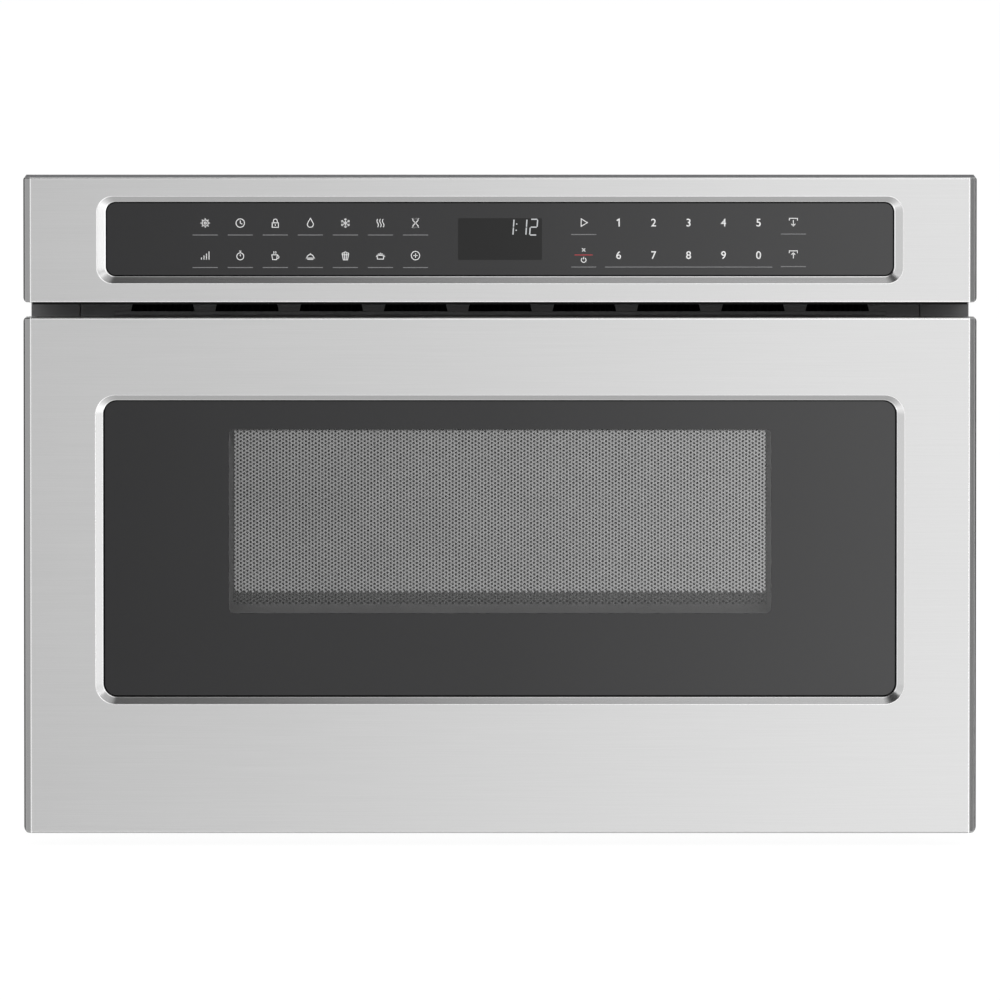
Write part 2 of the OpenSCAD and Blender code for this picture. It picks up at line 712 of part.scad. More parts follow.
// A folded front skin with a bevelled recess around a glass
module front_skin(z, glass_half, glass_zz, glass_corner, bevel, top_depth, bottom_depth) {
  w = 2 * (glass_half + glass_gap);
  h = glass_zz[1] - glass_zz[0] + 2 * glass_gap;
  r = glass_corner + glass_gap;
  mid = (glass_zz[0] + glass_zz[1]) / 2;
  lip = 3;
  slope = bevel[0] / bevel[1];
  inside = front_x - skin_t;
  difference() {
    translate([0, 0, z[0]]) linear_extrude(z[1] - z[0]) skin_plan();
    standing(front_y + 1.5 * skin_t) translate([0, mid, 0])
      linear_extrude(3 * skin_t) round_rect(w + 2 * bevel[1], h + 2 * bevel[1], r + bevel[1]);
  }
  standing(front_y) translate([0, mid, 0]) rim(w, h, r) polygon([
    [r, -bevel[0]], [r + bevel[1], 0], [r + bevel[1], -skin_t],
    [r + skin_t, -bevel[0] - skin_t + slope * skin_t], [r + skin_t, -bevel[0] - lip], [r, -bevel[0] - lip]
  ]);
  slab([-inside, inside], [front_y + skin_t, front_y + top_depth], [z[1] - skin_t, z[1]]);
  slab([-inside, inside], [front_y + skin_t, front_y + bottom_depth], [z[0], z[0] + skin_t]);
}

module control_bezel() color("gainsboro")
  front_skin(panel_z, control_x, control_z, control_r, control_bevel, skin_return, 14);

module control_glass() color([0.16, 0.16, 0.17]) standing_plate(control_x, control_y, control_z, control_r);

// Sheet box behind the control panel, open to the front
module control_housing() color([0.3, 0.3, 0.31]) {
  t = 1;
  gap = 0.3;
  x = front_x - skin_t - gap;
  y = [front_y + 6, -plate_t];
  z = [panel_z[0] + skin_t + gap, panel_z[1] - skin_t - gap];
  difference() {
    slab([-x, x], y, z);
    slab([-x + t, x - t], [y[0] - 1, y[1] - t], [z[0] + t, z[1] - t]);
  }
  pitch = (control_x - 18) / 5;
  for (i = [-2 : 2]) rod_y((2 * i + 1) * pitch * 0.95, [control_y[1] + 6.6, y[1] - t], control_z[1] - 6, 3);
}

// Sheet in the gap between the fronts, with slots for the cooling air
module vent_louvre() color([0.2, 0.2, 0.2]) {
  half = casing_x - 16;
  first = -(louvre_n - 1) / 2 * louvre_pitch;
  low = 42;
  high = 38;
  standing(-plate_t) linear_extrude(1) difference() {
    translate([-half, louvre_z[0] - 5]) square([2 * half, panel_z[0] - louvre_z[0] + 5]);
    for (i = [0 : louvre_n - 1]) translate([first + i * louvre_pitch, 0]) polygon([
      [-low / 2, louvre_z[0]], [low / 2, louvre_z[0]], [high / 2, louvre_z[1]], [-high / 2, louvre_z[1]]
    ]);
  }
}

module drawer_front_skin() color("gainsboro") difference() {
  front_skin(drawer_z, glass_x, glass_z, window_glass_r, window_bevel, 14, 20);
  slab([-notch_w / 2, notch_w / 2], [front_y + 5, front_y + 15], [drawer_z[1] - 2, drawer_z[1] + 1]);
}

module window_glass() color([0.16, 0.16, 0.17, 0.7]) standing_plate(glass_x, glass_y, glass_z, window_glass_r);

// Folded pan that stiffens the drawer front and holds the window glass
module door_frame() color([0.1, 0.1, 0.1]) {
  gap = 0.4;
  x = front_x - skin_t - gap;
  z = [drawer_z[0] + skin_t + gap, drawer_z[1] - 7];
  mesh = mesh_half();
  difference() {
    slab([-x, x], [frame_y - 14, frame_y + frame_t], z);
    slab([-x + frame_t, x - frame_t], [frame_y - 15, frame_y], [z[0] + frame_t, z[1] - frame_t]);
    slab([-mesh[0] - 3, mesh[0] + 3], [frame_y - 1, frame_y + 2], [mesh[1] - 3, mesh[2] + 3]);
    both_sides() for (zz = door_screw_z)
      rod_y(rack_x[0] + 12, [frame_y - 1, frame_y + 3], zz, screw_r + screw_gap);
  }
  standing_tube(glass_x - 2, [glass_y[1], frame_y], [glass_z[0] + 2, glass_z[1] - 2], 2.5);
}

// Half width, bottom and top of the screen plate
function mesh_half() = [view_x + 10, view_z[0] - 10, view_z[1] + 10];

module mesh_screen() color("dimgray") {
  m = mesh_half();
  slab([-m[0], m[0]], [choke_plate_y - 0.8, choke_plate_y], [m[1], m[2]]);
}

// Inner door panel, the tunnel round the window and the folded choke
module choke_frame() color("silver") {
  x = cavity_x + choke_lap + choke_w + 12;
  z = [cavity_z[0] - choke_lap - choke_w - 5, cavity_z[1] + choke_lap + choke_w + 5];
  r = choke_r;
  t = choke_plate_t;
  difference() {
    slab([-x, x], [choke_plate_y, choke_y[0]], z);
    slab([-view_x, view_x], [choke_plate_y - 1, choke_y[0] + 1], view_z);
  }
  standing_tube(view_x + t, [choke_y[0], tub_front - pane_t], [view_z[0] - t, view_z[1] + t], t);
  standing(choke_y[1]) translate([0, (cavity_z[0] + cavity_z[1]) / 2, 0])
    rim(2 * (cavity_x + choke_lap), cavity_z[1] - cavity_z[0] + 2 * choke_lap, r) {
      translate([r, 0]) square([t, choke_d]);
      translate([r + choke_w - t, 0]) square([t, choke_d]);
      translate([r + choke_w - 9, 0]) square([9, t]);
    }
}

module choke_cover() color([0.12, 0.12, 0.12]) {
  r = choke_r;
  standing(cover_y[1]) translate([0, (cavity_z[0] + cavity_z[1]) / 2, 0])
    rim(2 * (cavity_x + choke_lap), cavity_z[1] - cavity_z[0] + 2 * choke_lap, r)
      translate([r, 0]) square([choke_w + 2, cover_t]);
}

module inner_pane() color([0.8, 0.85, 0.85, 0.4])
  standing_plate(view_x + 7, [tub_front - pane_t, tub_front], [view_z[0] - 7, view_z[1] + 7], 5);

// Open tub: floor, sides and back, and the front wall that closes the cavity mouth
module drawer_tub() color([0.85, 0.86, 0.86]) {
  difference() {
    slab([-tub_x, tub_x], [tub_front, tub_y[1]], tub_z);
    slab([-tub_x + tub_t, tub_x - tub_t], [tub_front - 1, tub_y[1] - tub_t], [tub_z[0] + tub_t, tub_z[1] + 1]);
  }
  difference() {
    standing_plate(cavity_x + choke_lap, [tub_front, tub_front + tub_t],
      [cavity_z[0] - choke_lap, cavity_z[1] + choke_lap], choke_r);
    slab([-view_x, view_x], [tub_front - 1, tub_front + tub_t + 1], view_z);
  }
}

module ceramic_plate() color("ghostwhite") {
  gap = 0.5;
  x = tub_x - tub_t - gap;
  y = [tub_front + tub_t + gap, tub_y[1] - tub_t - gap];
  translate([0, (y[0] + y[1]) / 2, tub_z[0] + tub_t]) linear_extrude(ceramic_t) round_rect(2 * x, y[1] - y[0], 6);
}

// ---------------------------------------------------------------- slides

// A channel of half height h, from distance u[0] to u[1] off the casing wall, web at u[web]
module channel(u, h, web) {
  x = [wall_x - u[1], wall_x - u[0]];
  web_x = web == 0 ? [x[1] - slide_t, x[1]] : [x[0], x[0] + slide_t];
  slab(web_x, slide_y, [slide_z - h, slide_z + h]);
  for (z = [slide_z - h, slide_z + h - slide_t]) slab(x, slide_y, [z, z + slide_t]);
}

module outer_slides() color("silver") both_sides() channel([0, outer_depth], outer_half, 0);

module middle_slides() color("lightsteelblue") both_sides()
  channel([middle_web, slide_stack - 1], middle_half, 0);

module inner_slides() color("silver") both_sides()
  channel([middle_web + slide_t + 2, slide_stack], inner_half, 1);

// A bent strip with two rows of balls, at distance u, between half heights low and high
module ball_cage(web_u, ball_u, low, high) {
  mid = (low + high) / 2;
  radius = (high - low) / 2 - ball_gap;
  pocket = radius + 0.1;
  x = wall_x - web_u - cage_t;
  ball_x = wall_x - ball_u;
  inner = ball_x - radius - 1;
  difference() {
    union() {
      slab([x, x + cage_t], cage_y, [slide_z - mid - cage_t / 2, slide_z + mid + cage_t / 2]);
      for (s = [-1, 1]) slab([inner, x + cage_t], cage_y,
        [slide_z + s * mid - cage_t / 2, slide_z + s * mid + cage_t / 2]);
    }
    for (s = [-1, 1], i = [0 : balls_per_row - 1])
      rod_z(ball_x, ball_place(i), [slide_z + s * mid - 1, slide_z + s * mid + 1], pocket);
  }
  for (s = [-1, 1], i = [0 : balls_per_row - 1])
    translate([ball_x, ball_place(i), slide_z + s * mid]) sphere(radius);
}

function ball_place(i) = cage_y[0] + 10 + i * (cage_l - 20) / (balls_per_row - 1);

module outer_ball_cages() color("brown") both_sides()
  ball_cage(slide_t + (web_gap - cage_t) / 2, 8, middle_half, outer_half - slide_t);

module inner_ball_cages() color("brown") both_sides()
  ball_cage(middle_web + slide_t + 0.6, 10, inner_half, middle_half - slide_t);

module drawer_rails() color("silver") both_sides() {
  end = slide_y[1] - 10;
  difference() {
    slab([rack_x[0], rail_x], [frame_y + frame_t, frame_y + frame_t + rail_t], rail_z);
    for (zz = door_screw_z)
      rod_y(rack_x[0] + 12, [frame_y, frame_y + 4], zz, screw_r + screw_gap);
  }
  slab([rail_x - rail_t, rail_x], [frame_y + frame_t, end], rail_z);
  slab([rack_x[0], rail_x], [frame_y + frame_t, shaft_y + travel + 3 * tooth_pitch], [rail_z[1] - rail_t, rail_z[1]]);
}

// ---------------------------------------------------------------- drive

module racks() color("ivory") both_sides()
  translate([rack_x[0], 0, 0]) rotate([90, 0, 90]) linear_extrude(gear_w)
    polygon(rack_outline(rail_z[1] - rail_t));

module drive_shaft() color("silver") rod_x([-rack_x[1] - 2, rack_x[1] + 2], shaft_y, shaft_z, shaft_r);

module rack_pinions() color("ivory") both_sides() {
  gap_up = 90 + 180 / rack_pinion_n;
  gear_x([rack_x[0] - 0.5, rack_x[1] + 0.5], shaft_y, shaft_z, rack_pinion_n, gap_up, shaft_r);
  difference() {
    rod_x([rack_x[0] - 6, rack_x[0] - 0.5], shaft_y, shaft_z, shaft_r + 3);
    rod_x([rack_x[0] - 7, rack_x[0]], shaft_y, shaft_z, shaft_r);
  }
}

module drive_gear() color("ivory") {
  x = [drive_gear_x, drive_gear_x + gear_w];
  gear_x(x, shaft_y, shaft_z, drive_gear_n, 0, shaft_r);
  difference() {
    rod_x([x[1], x[1] + 6], shaft_y, shaft_z, shaft_r + 4);
    rod_x([x[1] - 1, x[1] + 7], shaft_y, shaft_z, shaft_r);
  }
}

module motor_pinion() color("ivory") {
  gap_front = 180 + 180 / motor_pinion_n;
  x = [drive_gear_x - 0.5, drive_gear_x + gear_w + 0.5];
  translate([x[0], motor_y, shaft_z]) rotate([90, 0, 90]) linear_extrude(x[1] - x[0])
    rotate(gap_front) polygon(gear_outline(motor_pinion_n));
  rod_x([x[0] - 16, x[0]], motor_y, shaft_z, output_r);
}

module drive_motor() color("gray") {
  face = drive_gear_x - 8;
  box_z = [casing_t, shaft_z + 20];
  difference() {
    slab([face - 24, face], [motor_y - 20, motor_y + 20], box_z);
    rod_x([face - 10, face + 1], motor_y, shaft_z, output_r + running_gap);
  }
  rod_x([face - 84, face - 24], motor_y, shaft_z, 17);
  slab([face - 30, face - 24], [motor_y - 24, motor_y + 24], [casing_t, casing_t + 3]);
}

module shaft_bearings() color("darkgoldenrod") both_sides() {
  x = [rack_x[0] - 14, rack_x[0] - 7];
  half = 9;
  difference() {
    union() {
      slab(x, [shaft_y - half, shaft_y + half], [casing_t, shaft_z]);
      rod_x(x, shaft_y, shaft_z, half);
      slab([x[0] - 8, x[1]], [shaft_y - half, shaft_y + half], [casing_t, casing_t + 3]);
    }
    rod_x([x[0] - 1, x[1] + 1], shaft_y, shaft_z, shaft_r + running_gap);
  }
}

// ---------------------------------------------------------------- interlock and fasteners

module interlock_brackets() color("silver") both_sides() {
  x = hook_x[1] + 4;
  z = [hook_z[0] - 24, hook_z[1] + 24];
  slab([x, x + 1.5], [0, 44], z);
  slab([x + 1.5, plate_x], [0, 1.5], z);
}

// A switch beside the hook, above it when up is 1 and below it when up is -1
module microswitch(up) {
  mid = (hook_z[0] + hook_z[1]) / 2;
  x = [hook_x[0] - 2, hook_x[1] + 4];
  translate([0, 0, mid]) mirror([0, 0, up > 0 ? 0 : 1]) translate([0, 0, -mid]) {
    slab(x, switch_y, switch_z);
    rod_z((x[0] + x[1]) / 2, switch_y[0] + 9, [switch_z[0] - 3.5, switch_z[0]], 1.6);
    for (y = [switch_y[0] + 5, switch_y[1] - 5])
      slab([x[0] + 3, x[1] - 3], [y - 0.4, y + 0.4], [switch_z[1], switch_z[1] + 7]);
  }
}

module microswitches() color("firebrick") {
  microswitch(1);
  microswitch(-1);
  on_side(-1) microswitch(1);
}

module latch_hooks() color("white") both_sides() {
  barb = 4;
  difference() {
    slab(hook_x, [choke_y[0], 24], hook_z);
    slab([hook_x[0] - 1, hook_x[1] + 1], [2, 18], [hook_z[0] - 1, hook_z[0] + barb]);
  }
}

module door_screws() color("gray") both_sides() for (z = door_screw_z)
  translate([rack_x[0] + 12, frame_y + frame_t + rail_t, z]) rotate([-90, 0, 0])
    screw(3.6, 2, frame_t + rail_t + 3);

base_plate();
side_panel_left();
side_panel_right();
top_plate();
back_plate();
front_plate();
mounting_flange_left();
mounting_flange_right();
cavity_wrap();
cavity_roof();
cavity_back();
stirrer_dome();
stirrer_cover();
waveguide();
stirrer_motor();
magnetron();
transformer();
hv_capacitor();
hv_diode();
blower_housing();
blower_motor();
filter_board();
cavity_lamp();
thermal_cutouts();
control_bezel();
control_glass();
display_module();
control_board();
control_housing();
vent_louvre();
drive_motor();
shaft_bearings();
outer_slides();
interlock_brackets();
microswitches();
cord_gland();
casing_screws();
stirrer();
blower_wheel();
drive_shaft();
drive_gear();
rack_pinions();
motor_pinion();
middle_slides();
outer_ball_cages();
inner_ball_cages();
drawer_front_skin();
window_glass();
door_frame();
mesh_screen();
choke_frame();
choke_cover();
inner_pane();
drawer_tub();
ceramic_plate();
inner_slides();
drawer_rails();
racks();
latch_hooks();
door_screws();
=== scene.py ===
"""Looks of a built-in microwave drawer: finishes, rebuilt front pieces, legends, screen and studio.

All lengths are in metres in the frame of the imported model: X to the right, Y to the back, Z up.
"""

import json
import logging
import math
from collections.abc import Iterable, Sequence
from dataclasses import dataclass, field
from enum import Enum, IntEnum, auto

import bmesh
import bpy
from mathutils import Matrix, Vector
from mathutils.geometry import tessellate_polygon


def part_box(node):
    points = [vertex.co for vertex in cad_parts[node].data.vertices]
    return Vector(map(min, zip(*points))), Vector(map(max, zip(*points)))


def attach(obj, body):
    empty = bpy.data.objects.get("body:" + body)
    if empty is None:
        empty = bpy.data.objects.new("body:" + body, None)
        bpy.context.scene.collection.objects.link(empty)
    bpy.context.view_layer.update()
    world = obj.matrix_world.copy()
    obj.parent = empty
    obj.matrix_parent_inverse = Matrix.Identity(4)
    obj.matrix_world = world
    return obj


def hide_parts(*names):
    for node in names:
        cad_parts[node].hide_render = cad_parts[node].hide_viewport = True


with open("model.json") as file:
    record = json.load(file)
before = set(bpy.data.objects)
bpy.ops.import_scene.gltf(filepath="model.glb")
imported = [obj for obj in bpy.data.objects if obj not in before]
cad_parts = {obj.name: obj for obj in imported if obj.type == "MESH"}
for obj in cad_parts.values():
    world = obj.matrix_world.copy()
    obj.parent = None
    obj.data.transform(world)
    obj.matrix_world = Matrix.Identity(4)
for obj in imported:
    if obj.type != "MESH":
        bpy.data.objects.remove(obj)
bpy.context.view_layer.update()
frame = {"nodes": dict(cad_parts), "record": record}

log = logging.getLogger("microwave_drawer")
MM = 0.001
HAIR = 0.001 * MM
SAME_POINT = 1e-9
TURN_BACK = 0.1
MITRE_LIMIT = 0.5
WHITE = (1.0, 1.0, 1.0, 1.0)

Point2 = tuple[float, float]
Point3 = tuple[float, float, float]
Colour = tuple[float, float, float]
Stroke = list[Point2]
Stops = Sequence[tuple[float, float]]


class Body(Enum):
    """The moving groups that the rebuilt pieces ride on."""

    CABINET = "cabinet"
    DRAWER = "drawer"


class Slot(Enum):
    """Material slots of the record."""

    STAINLESS = "stainless"
    GALVANISED = "galvanised"
    PLATED_STEEL = "plated_steel"
    DARK_SHEET = "dark_sheet"
    GREY_ENAMEL = "grey_enamel"
    BLACK_GLASS = "black_glass"
    CLEAR_GLASS = "clear_glass"
    BLACK_PLASTIC = "black_plastic"
    WHITE_PLASTIC = "white_plastic"
    RED_PLASTIC = "red_plastic"
    MICA = "mica"
    ALUMINIUM = "aluminium"
    TRANSFORMER_STEEL = "transformer_steel"
    CIRCUIT_BOARD = "circuit_board"
    CERAMIC = "ceramic"
    PERFORATED_STEEL = "perforated_steel"
    BRONZE = "bronze"


# ---------------------------------------------------------------- shader expressions


class Channel:
    """A socket of a node tree. Arithmetic on it adds Math nodes."""

    def __init__(self, graph: "Graph", socket: bpy.types.NodeSocket | None) -> None:
        """Wraps an output socket of a graph."""
        self.graph = graph
        self.socket = socket

    def _math(self, operation: str, *values: "Channel | float") -> "Channel":
        """Adds a Math node on the values in order."""
        return self.graph.node("ShaderNodeMath", {"operation": operation}, dict(enumerate(values)))

    def __add__(self, other: "Channel | float") -> "Channel":
        """Self plus other."""
        return self._math("ADD", self, other)

    def __radd__(self, other: float) -> "Channel":
        """Other plus self."""
        return self._math("ADD", other, self)

    def __sub__(self, other: "Channel | float") -> "Channel":
        """Self minus other."""
        return self._math("SUBTRACT", self, other)

    def __rsub__(self, other: float) -> "Channel":
        """Other minus self."""
        return self._math("SUBTRACT", other, self)

    def __mul__(self, other: "Channel | float") -> "Channel":
        """Self times other."""
        return self._math("MULTIPLY", self, other)

    def __rmul__(self, other: float) -> "Channel":
        """Other times self."""
        return self._math("MULTIPLY", other, self)

    def __pow__(self, other: float) -> "Channel":
        """Self to a power."""
        return self._math("POWER", self, other)

    def ramp(self, low: float, high: float) -> "Channel":
        """A smooth step from 0 at low to 1 at high."""
        settings = {"interpolation_type": "SMOOTHSTEP"}
        return self.graph.node("ShaderNodeMapRange", settings, {"Value": self, 1: low, 2: high})


class Graph:
    """A node tree with short forms for the nodes that the finishes use."""

    def __init__(self, tree: bpy.types.NodeTree) -> None:
        """Starts from an empty tree."""
        self.tree = tree
        tree.nodes.clear()

    def node(self, kind: str, settings: dict | None = None, inputs: dict | None = None,
             output: int | str = 0) -> Channel:
        """Adds a node: first its settings, then its inputs.

        Args:
            kind: the node's type.
            settings: attribute values; "stops" holds a ramp's (position, colour) pairs.
            inputs: values or channels by socket name or index.
            output: name or index of the output to return.

        Returns:
            The chosen output.
        """
        node = self.tree.nodes.new(kind)
        for name, value in (settings or {}).items():
            if name == "stops":
                self._set_stops(node.color_ramp, value)
            else:
                setattr(node, name, value)
        for key, value in (inputs or {}).items():
            if isinstance(value, Channel):
                self.tree.links.new(value.socket, node.inputs[key])
            else:
                node.inputs[key].default_value = value
        return Channel(self, node.outputs[output] if len(node.outputs) else None)

    @staticmethod
    def _set_stops(ramp: bpy.types.ColorRamp, stops: Sequence[tuple[float, Colour]]) -> None:
        """Writes the stops of a colour ramp.

        Args:
            ramp: the ramp to change.
            stops: (position, colour) pairs from low to high.
        """
        while len(ramp.elements) < len(stops):
            ramp.elements.new(1.0)
        for element, (position, colour) in zip(ramp.elements, stops):
            element.position = position
            element.color = (*colour, 1.0)

    def place(self, stretch: Point3 = (1.0, 1.0, 1.0)) -> Channel:
        """Coordinates fixed to the piece, multiplied by a factor along each axis."""
        coords = self.node("ShaderNodeTexCoord", output="Object")
        return self.node("ShaderNodeVectorMath", {"operation": "MULTIPLY"}, {0: coords, 1: stretch})

    def noise(self, cycles: float | Point3, detail: float = 3.0, rough: float = 0.5) -> Channel:
        """Noise from 0 to 1.

        Args:
            cycles: cycles per metre, one for all axes or one for each.
            detail: octaves.
            rough: weight of the finer octaves.

        Returns:
            The noise value.
        """
        stretch = cycles if isinstance(cycles, tuple) else (cycles,) * 3
        values = {"Vector": self.place(stretch), "Scale": 1.0, "Detail": detail, "Roughness": rough}
        return self.node("ShaderNodeTexNoise", None, values, "Fac")

    def cells(self, per_metre: float, output: str = "Distance", feature: str = "F1") -> Channel:
        """Voronoi cells: the distance to a cell's point, or one random value for each cell.

        Args:
            per_metre: cells per metre.
            output: "Distance" or "Color".
            feature: the node's feature.

        Returns:
            The value.
        """
        values = {"Vector": self.place(), "Scale": per_metre}
        found = self.node("ShaderNodeTexVoronoi", {"feature": feature}, values, output)
        return self.grey(found) if output == "Color" else found

    def levels(self, position: Channel, stops: Stops) -> Channel:
        """A value that follows (position, value) stops from low to high."""
        colours = [(at, (v, v, v)) for at, v in stops]
        return self.grey(self.node("ShaderNodeValToRGB", {"stops": colours}, {0: position}))

    def grey(self, colour: Channel) -> Channel:
        """The red part of a colour, as a value."""
        return self.node("ShaderNodeSeparateColor", None, {0: colour}, 0)

    def shade_of(self, value: Channel) -> Channel:
        """A neutral colour from a value."""
        return self.node("ShaderNodeCombineColor", None, {0: value, 1: value, 2: value})

    def blend(self, factor: Channel | float, first: Channel | Colour, second: Channel | Colour) -> Channel:
        """Mixes two colours: factor 0 gives the first, 1 the second."""
        colours = [c if isinstance(c, Channel) else (*c, 1.0) for c in (first, second)]
        return self.node("ShaderNodeMix", {"data_type": "RGBA"}, {0: factor, 6: colours[0], 7: colours[1]}, 2)

    def mix(self, factor: Channel, first: Channel, second: Channel) -> Channel:
        """Mixes two shaders: factor 0 gives the first, 1 the second."""
        return self.node("ShaderNodeMixShader", None, {0: factor, 1: first, 2: second})

    def bump(self, height: Channel, distance: float, strength: float = 1.0) -> Channel:
        """A normal from a height, where a height of 1 is the distance in metres."""
        values = {"Strength": strength, "Distance": distance, "Height": height}
        return self.node("ShaderNodeBump", None, values)

    def surface(self, colour: Channel, roughness: Channel | float, metallic: float = 0.0,
                normal: Channel | None = None, constants: dict | None = None) -> Channel:
        """A Principled shader.

        Args:
            colour: base colour.
            roughness: roughness.
            metallic: 0 for paint and plastic, 1 for metal.
            normal: normal from a bump.
            constants: values of other sockets.

        Returns:
            The shader.
        """
        values = {"Base Color": colour, "Roughness": roughness, "Metallic": metallic, **(constants or {})}
        if normal is not None:
            values["Normal"] = normal
        return self.node("ShaderNodeBsdfPrincipled", None, values)


# ---------------------------------------------------------------- finishes


Patterns = tuple[Channel, Channel, Channel | None]
MATERIALS: dict[str, bpy.types.Material] = {}


def new_material(name: str) -> tuple[bpy.types.Material, Graph]:
    """Makes a material and the graph of its empty node tree.

    Args:
        name: the material's name.

    Returns:
        The material and its graph.
    """
    made = bpy.data.materials.new(name)
    made.use_nodes = True
    return made, Graph(made.node_tree)


@dataclass(frozen=True)
class Finish:
    """A surface finish: a colour that drifts, a roughness that follows it, and a fine grain.

    spread is how dark and how light the colour gets, and swing is how far the roughness moves.
    """

    name: str
    colour: Colour
    roughness: float = 0.5
    spread: Point2 = (0.9, 1.1)
    swing: float = 0.1
    metallic: float = 0.0
    relief: float = 0.03 * MM
    strength: float = 0.5
    drift_cycles: float = 30.0
    grain_cycles: float = 1000.0

    def patterns(self, graph: Graph) -> Patterns:
        """The patterns of the colour, the roughness and the relief."""
        grain, drift = graph.noise(self.grain_cycles, 2.0), graph.noise(self.drift_cycles)
        return drift, drift, grain

    def constants(self) -> dict[str, float]:
        """Values of the shader's other sockets."""
        return {}

    def tint(self, factor: float) -> Colour:
        """The finish's colour made lighter or darker."""
        return tuple(min(1.0, c * factor) for c in self.colour)

    def shade(self, graph: Graph) -> Channel:
        """Builds the finish's shader.

        Args:
            graph: graph of the material.

        Returns:
            The shader.
        """
        tone, drift, grain = self.patterns(graph)
        colour = graph.blend(tone, *map(self.tint, self.spread))
        roughness = drift * self.swing + (self.roughness - self.swing / 2)
        normal = graph.bump(grain, self.relief, self.strength) if grain else None
        return graph.surface(colour, roughness, self.metallic, normal, self.constants())

    def material(self) -> bpy.types.Material:
        """The finish's material, made once.

        Returns:
            The material.
        """
        if self.name not in MATERIALS:
            made, graph = new_material(self.name)
            graph.node("ShaderNodeOutputMaterial", None, {"Surface": self.shade(graph)})
            made.diffuse_color = (*self.colour, 1.0)
            MATERIALS[self.name] = made
        return MATERIALS[self.name]


@dataclass(frozen=True)
class BrushedSteel(Finish):
    """Stainless steel with fine strokes along X, or along Z on a cross-grained hem."""

    roughness: float = 0.34
    spread: Point2 = (0.97, 1.03)
    metallic: float = 1.0
    relief: float = 0.01 * MM
    strength: float = 0.25
    upright: bool = False
    stroke_width: float = 0.28 * MM
    stroke_length: float = 60 * MM
    stroke_share: float = 0.8
    clouds: Point3 = (3.0, 3.0, 5.0)

    def shade(self, graph: Graph) -> Channel:
        """Builds the finish's shader.

        Args:
            graph: graph of the material.

        Returns:
            The shader.
        """
        across, along = 1 / self.stroke_width, 1 / self.stroke_length
        strokes = graph.noise((across, across, along) if self.upright else (along, across, across), 3.0, 0.65)
        clouds = graph.noise(self.clouds, 1.0)
        tone = (strokes * self.stroke_share + clouds * (1 - self.stroke_share)).ramp(0.3, 0.7)
        colour = graph.blend(tone, *map(self.tint, self.spread))
        roughness = (strokes - 0.5) * self.swing + self.roughness
        normal = graph.bump(strokes, self.relief, self.strength)
        return graph.surface(colour, roughness, self.metallic, normal)


@dataclass(frozen=True)
class Galvanised(Finish):
    """Zinc coated sheet with its crystal flowers."""

    roughness: float = 0.32
    spread: Point2 = (0.87, 1.13)
    metallic: float = 0.9
    relief: float = 0.01 * MM
    strength: float = 0.3
    flowers_per_metre: float = 105.0

    def shade(self, graph: Graph) -> Channel:
        """Builds the finish's shader.

        Args:
            graph: graph of the material.

        Returns:
            The shader.
        """
        flower, needle = graph.cells(self.flowers_per_metre, "Color"), graph.noise((900.0, 240.0, 600.0), 2.0)
        haze = graph.noise(9.0)
        tone = flower * 0.42 + needle * 0.33 + haze * 0.25
        roughness = flower * 0.12 + haze * self.swing + self.roughness
        normal = graph.bump(needle, self.relief, self.strength)
        colour = graph.blend(tone, *map(self.tint, self.spread))
        return graph.surface(colour, roughness, self.metallic, normal)


@dataclass(frozen=True)
class Plated(Finish):
    """Bright plated or rolled metal with faint drawing lines."""

    roughness: float = 0.32
    spread: Point2 = (0.86, 1.12)
    swing: float = 0.14
    metallic: float = 1.0
    relief: float = 0.01 * MM
    strength: float = 0.3

    def patterns(self, graph: Graph) -> Patterns:
        """The patterns of the colour, the roughness and the relief."""
        lines, haze = graph.noise((1100.0, 14.0, 1100.0), 2.0), graph.noise(28.0)
        return lines * 0.4 + haze * 0.6, haze, lines


@dataclass(frozen=True)
class Sintered(Finish):
    """Sintered bearing metal with open pores."""

    spread: Point2 = (0.75, 1.2)
    swing: float = 0.2
    metallic: float = 1.0
    relief: float = 0.05 * MM

    def patterns(self, graph: Graph) -> Patterns:
        """The patterns of the colour, the roughness and the relief."""
        haze = graph.noise(80.0)
        return haze, haze, graph.cells(1400.0).ramp(0.1, 0.5)


@dataclass(frozen=True)
class PowderCoat(Finish):
    """Powder coat, paint or foam with a fine orange peel."""

    spread: Point2 = (0.88, 1.14)
    swing: float = 0.12
    drift_cycles: float = 35.0
    grain_cycles: float = 650.0
    gloss: float = 0.5

    def constants(self) -> dict[str, float]:
        """Values of the shader's other sockets."""
        return {"Specular IOR Level": self.gloss}


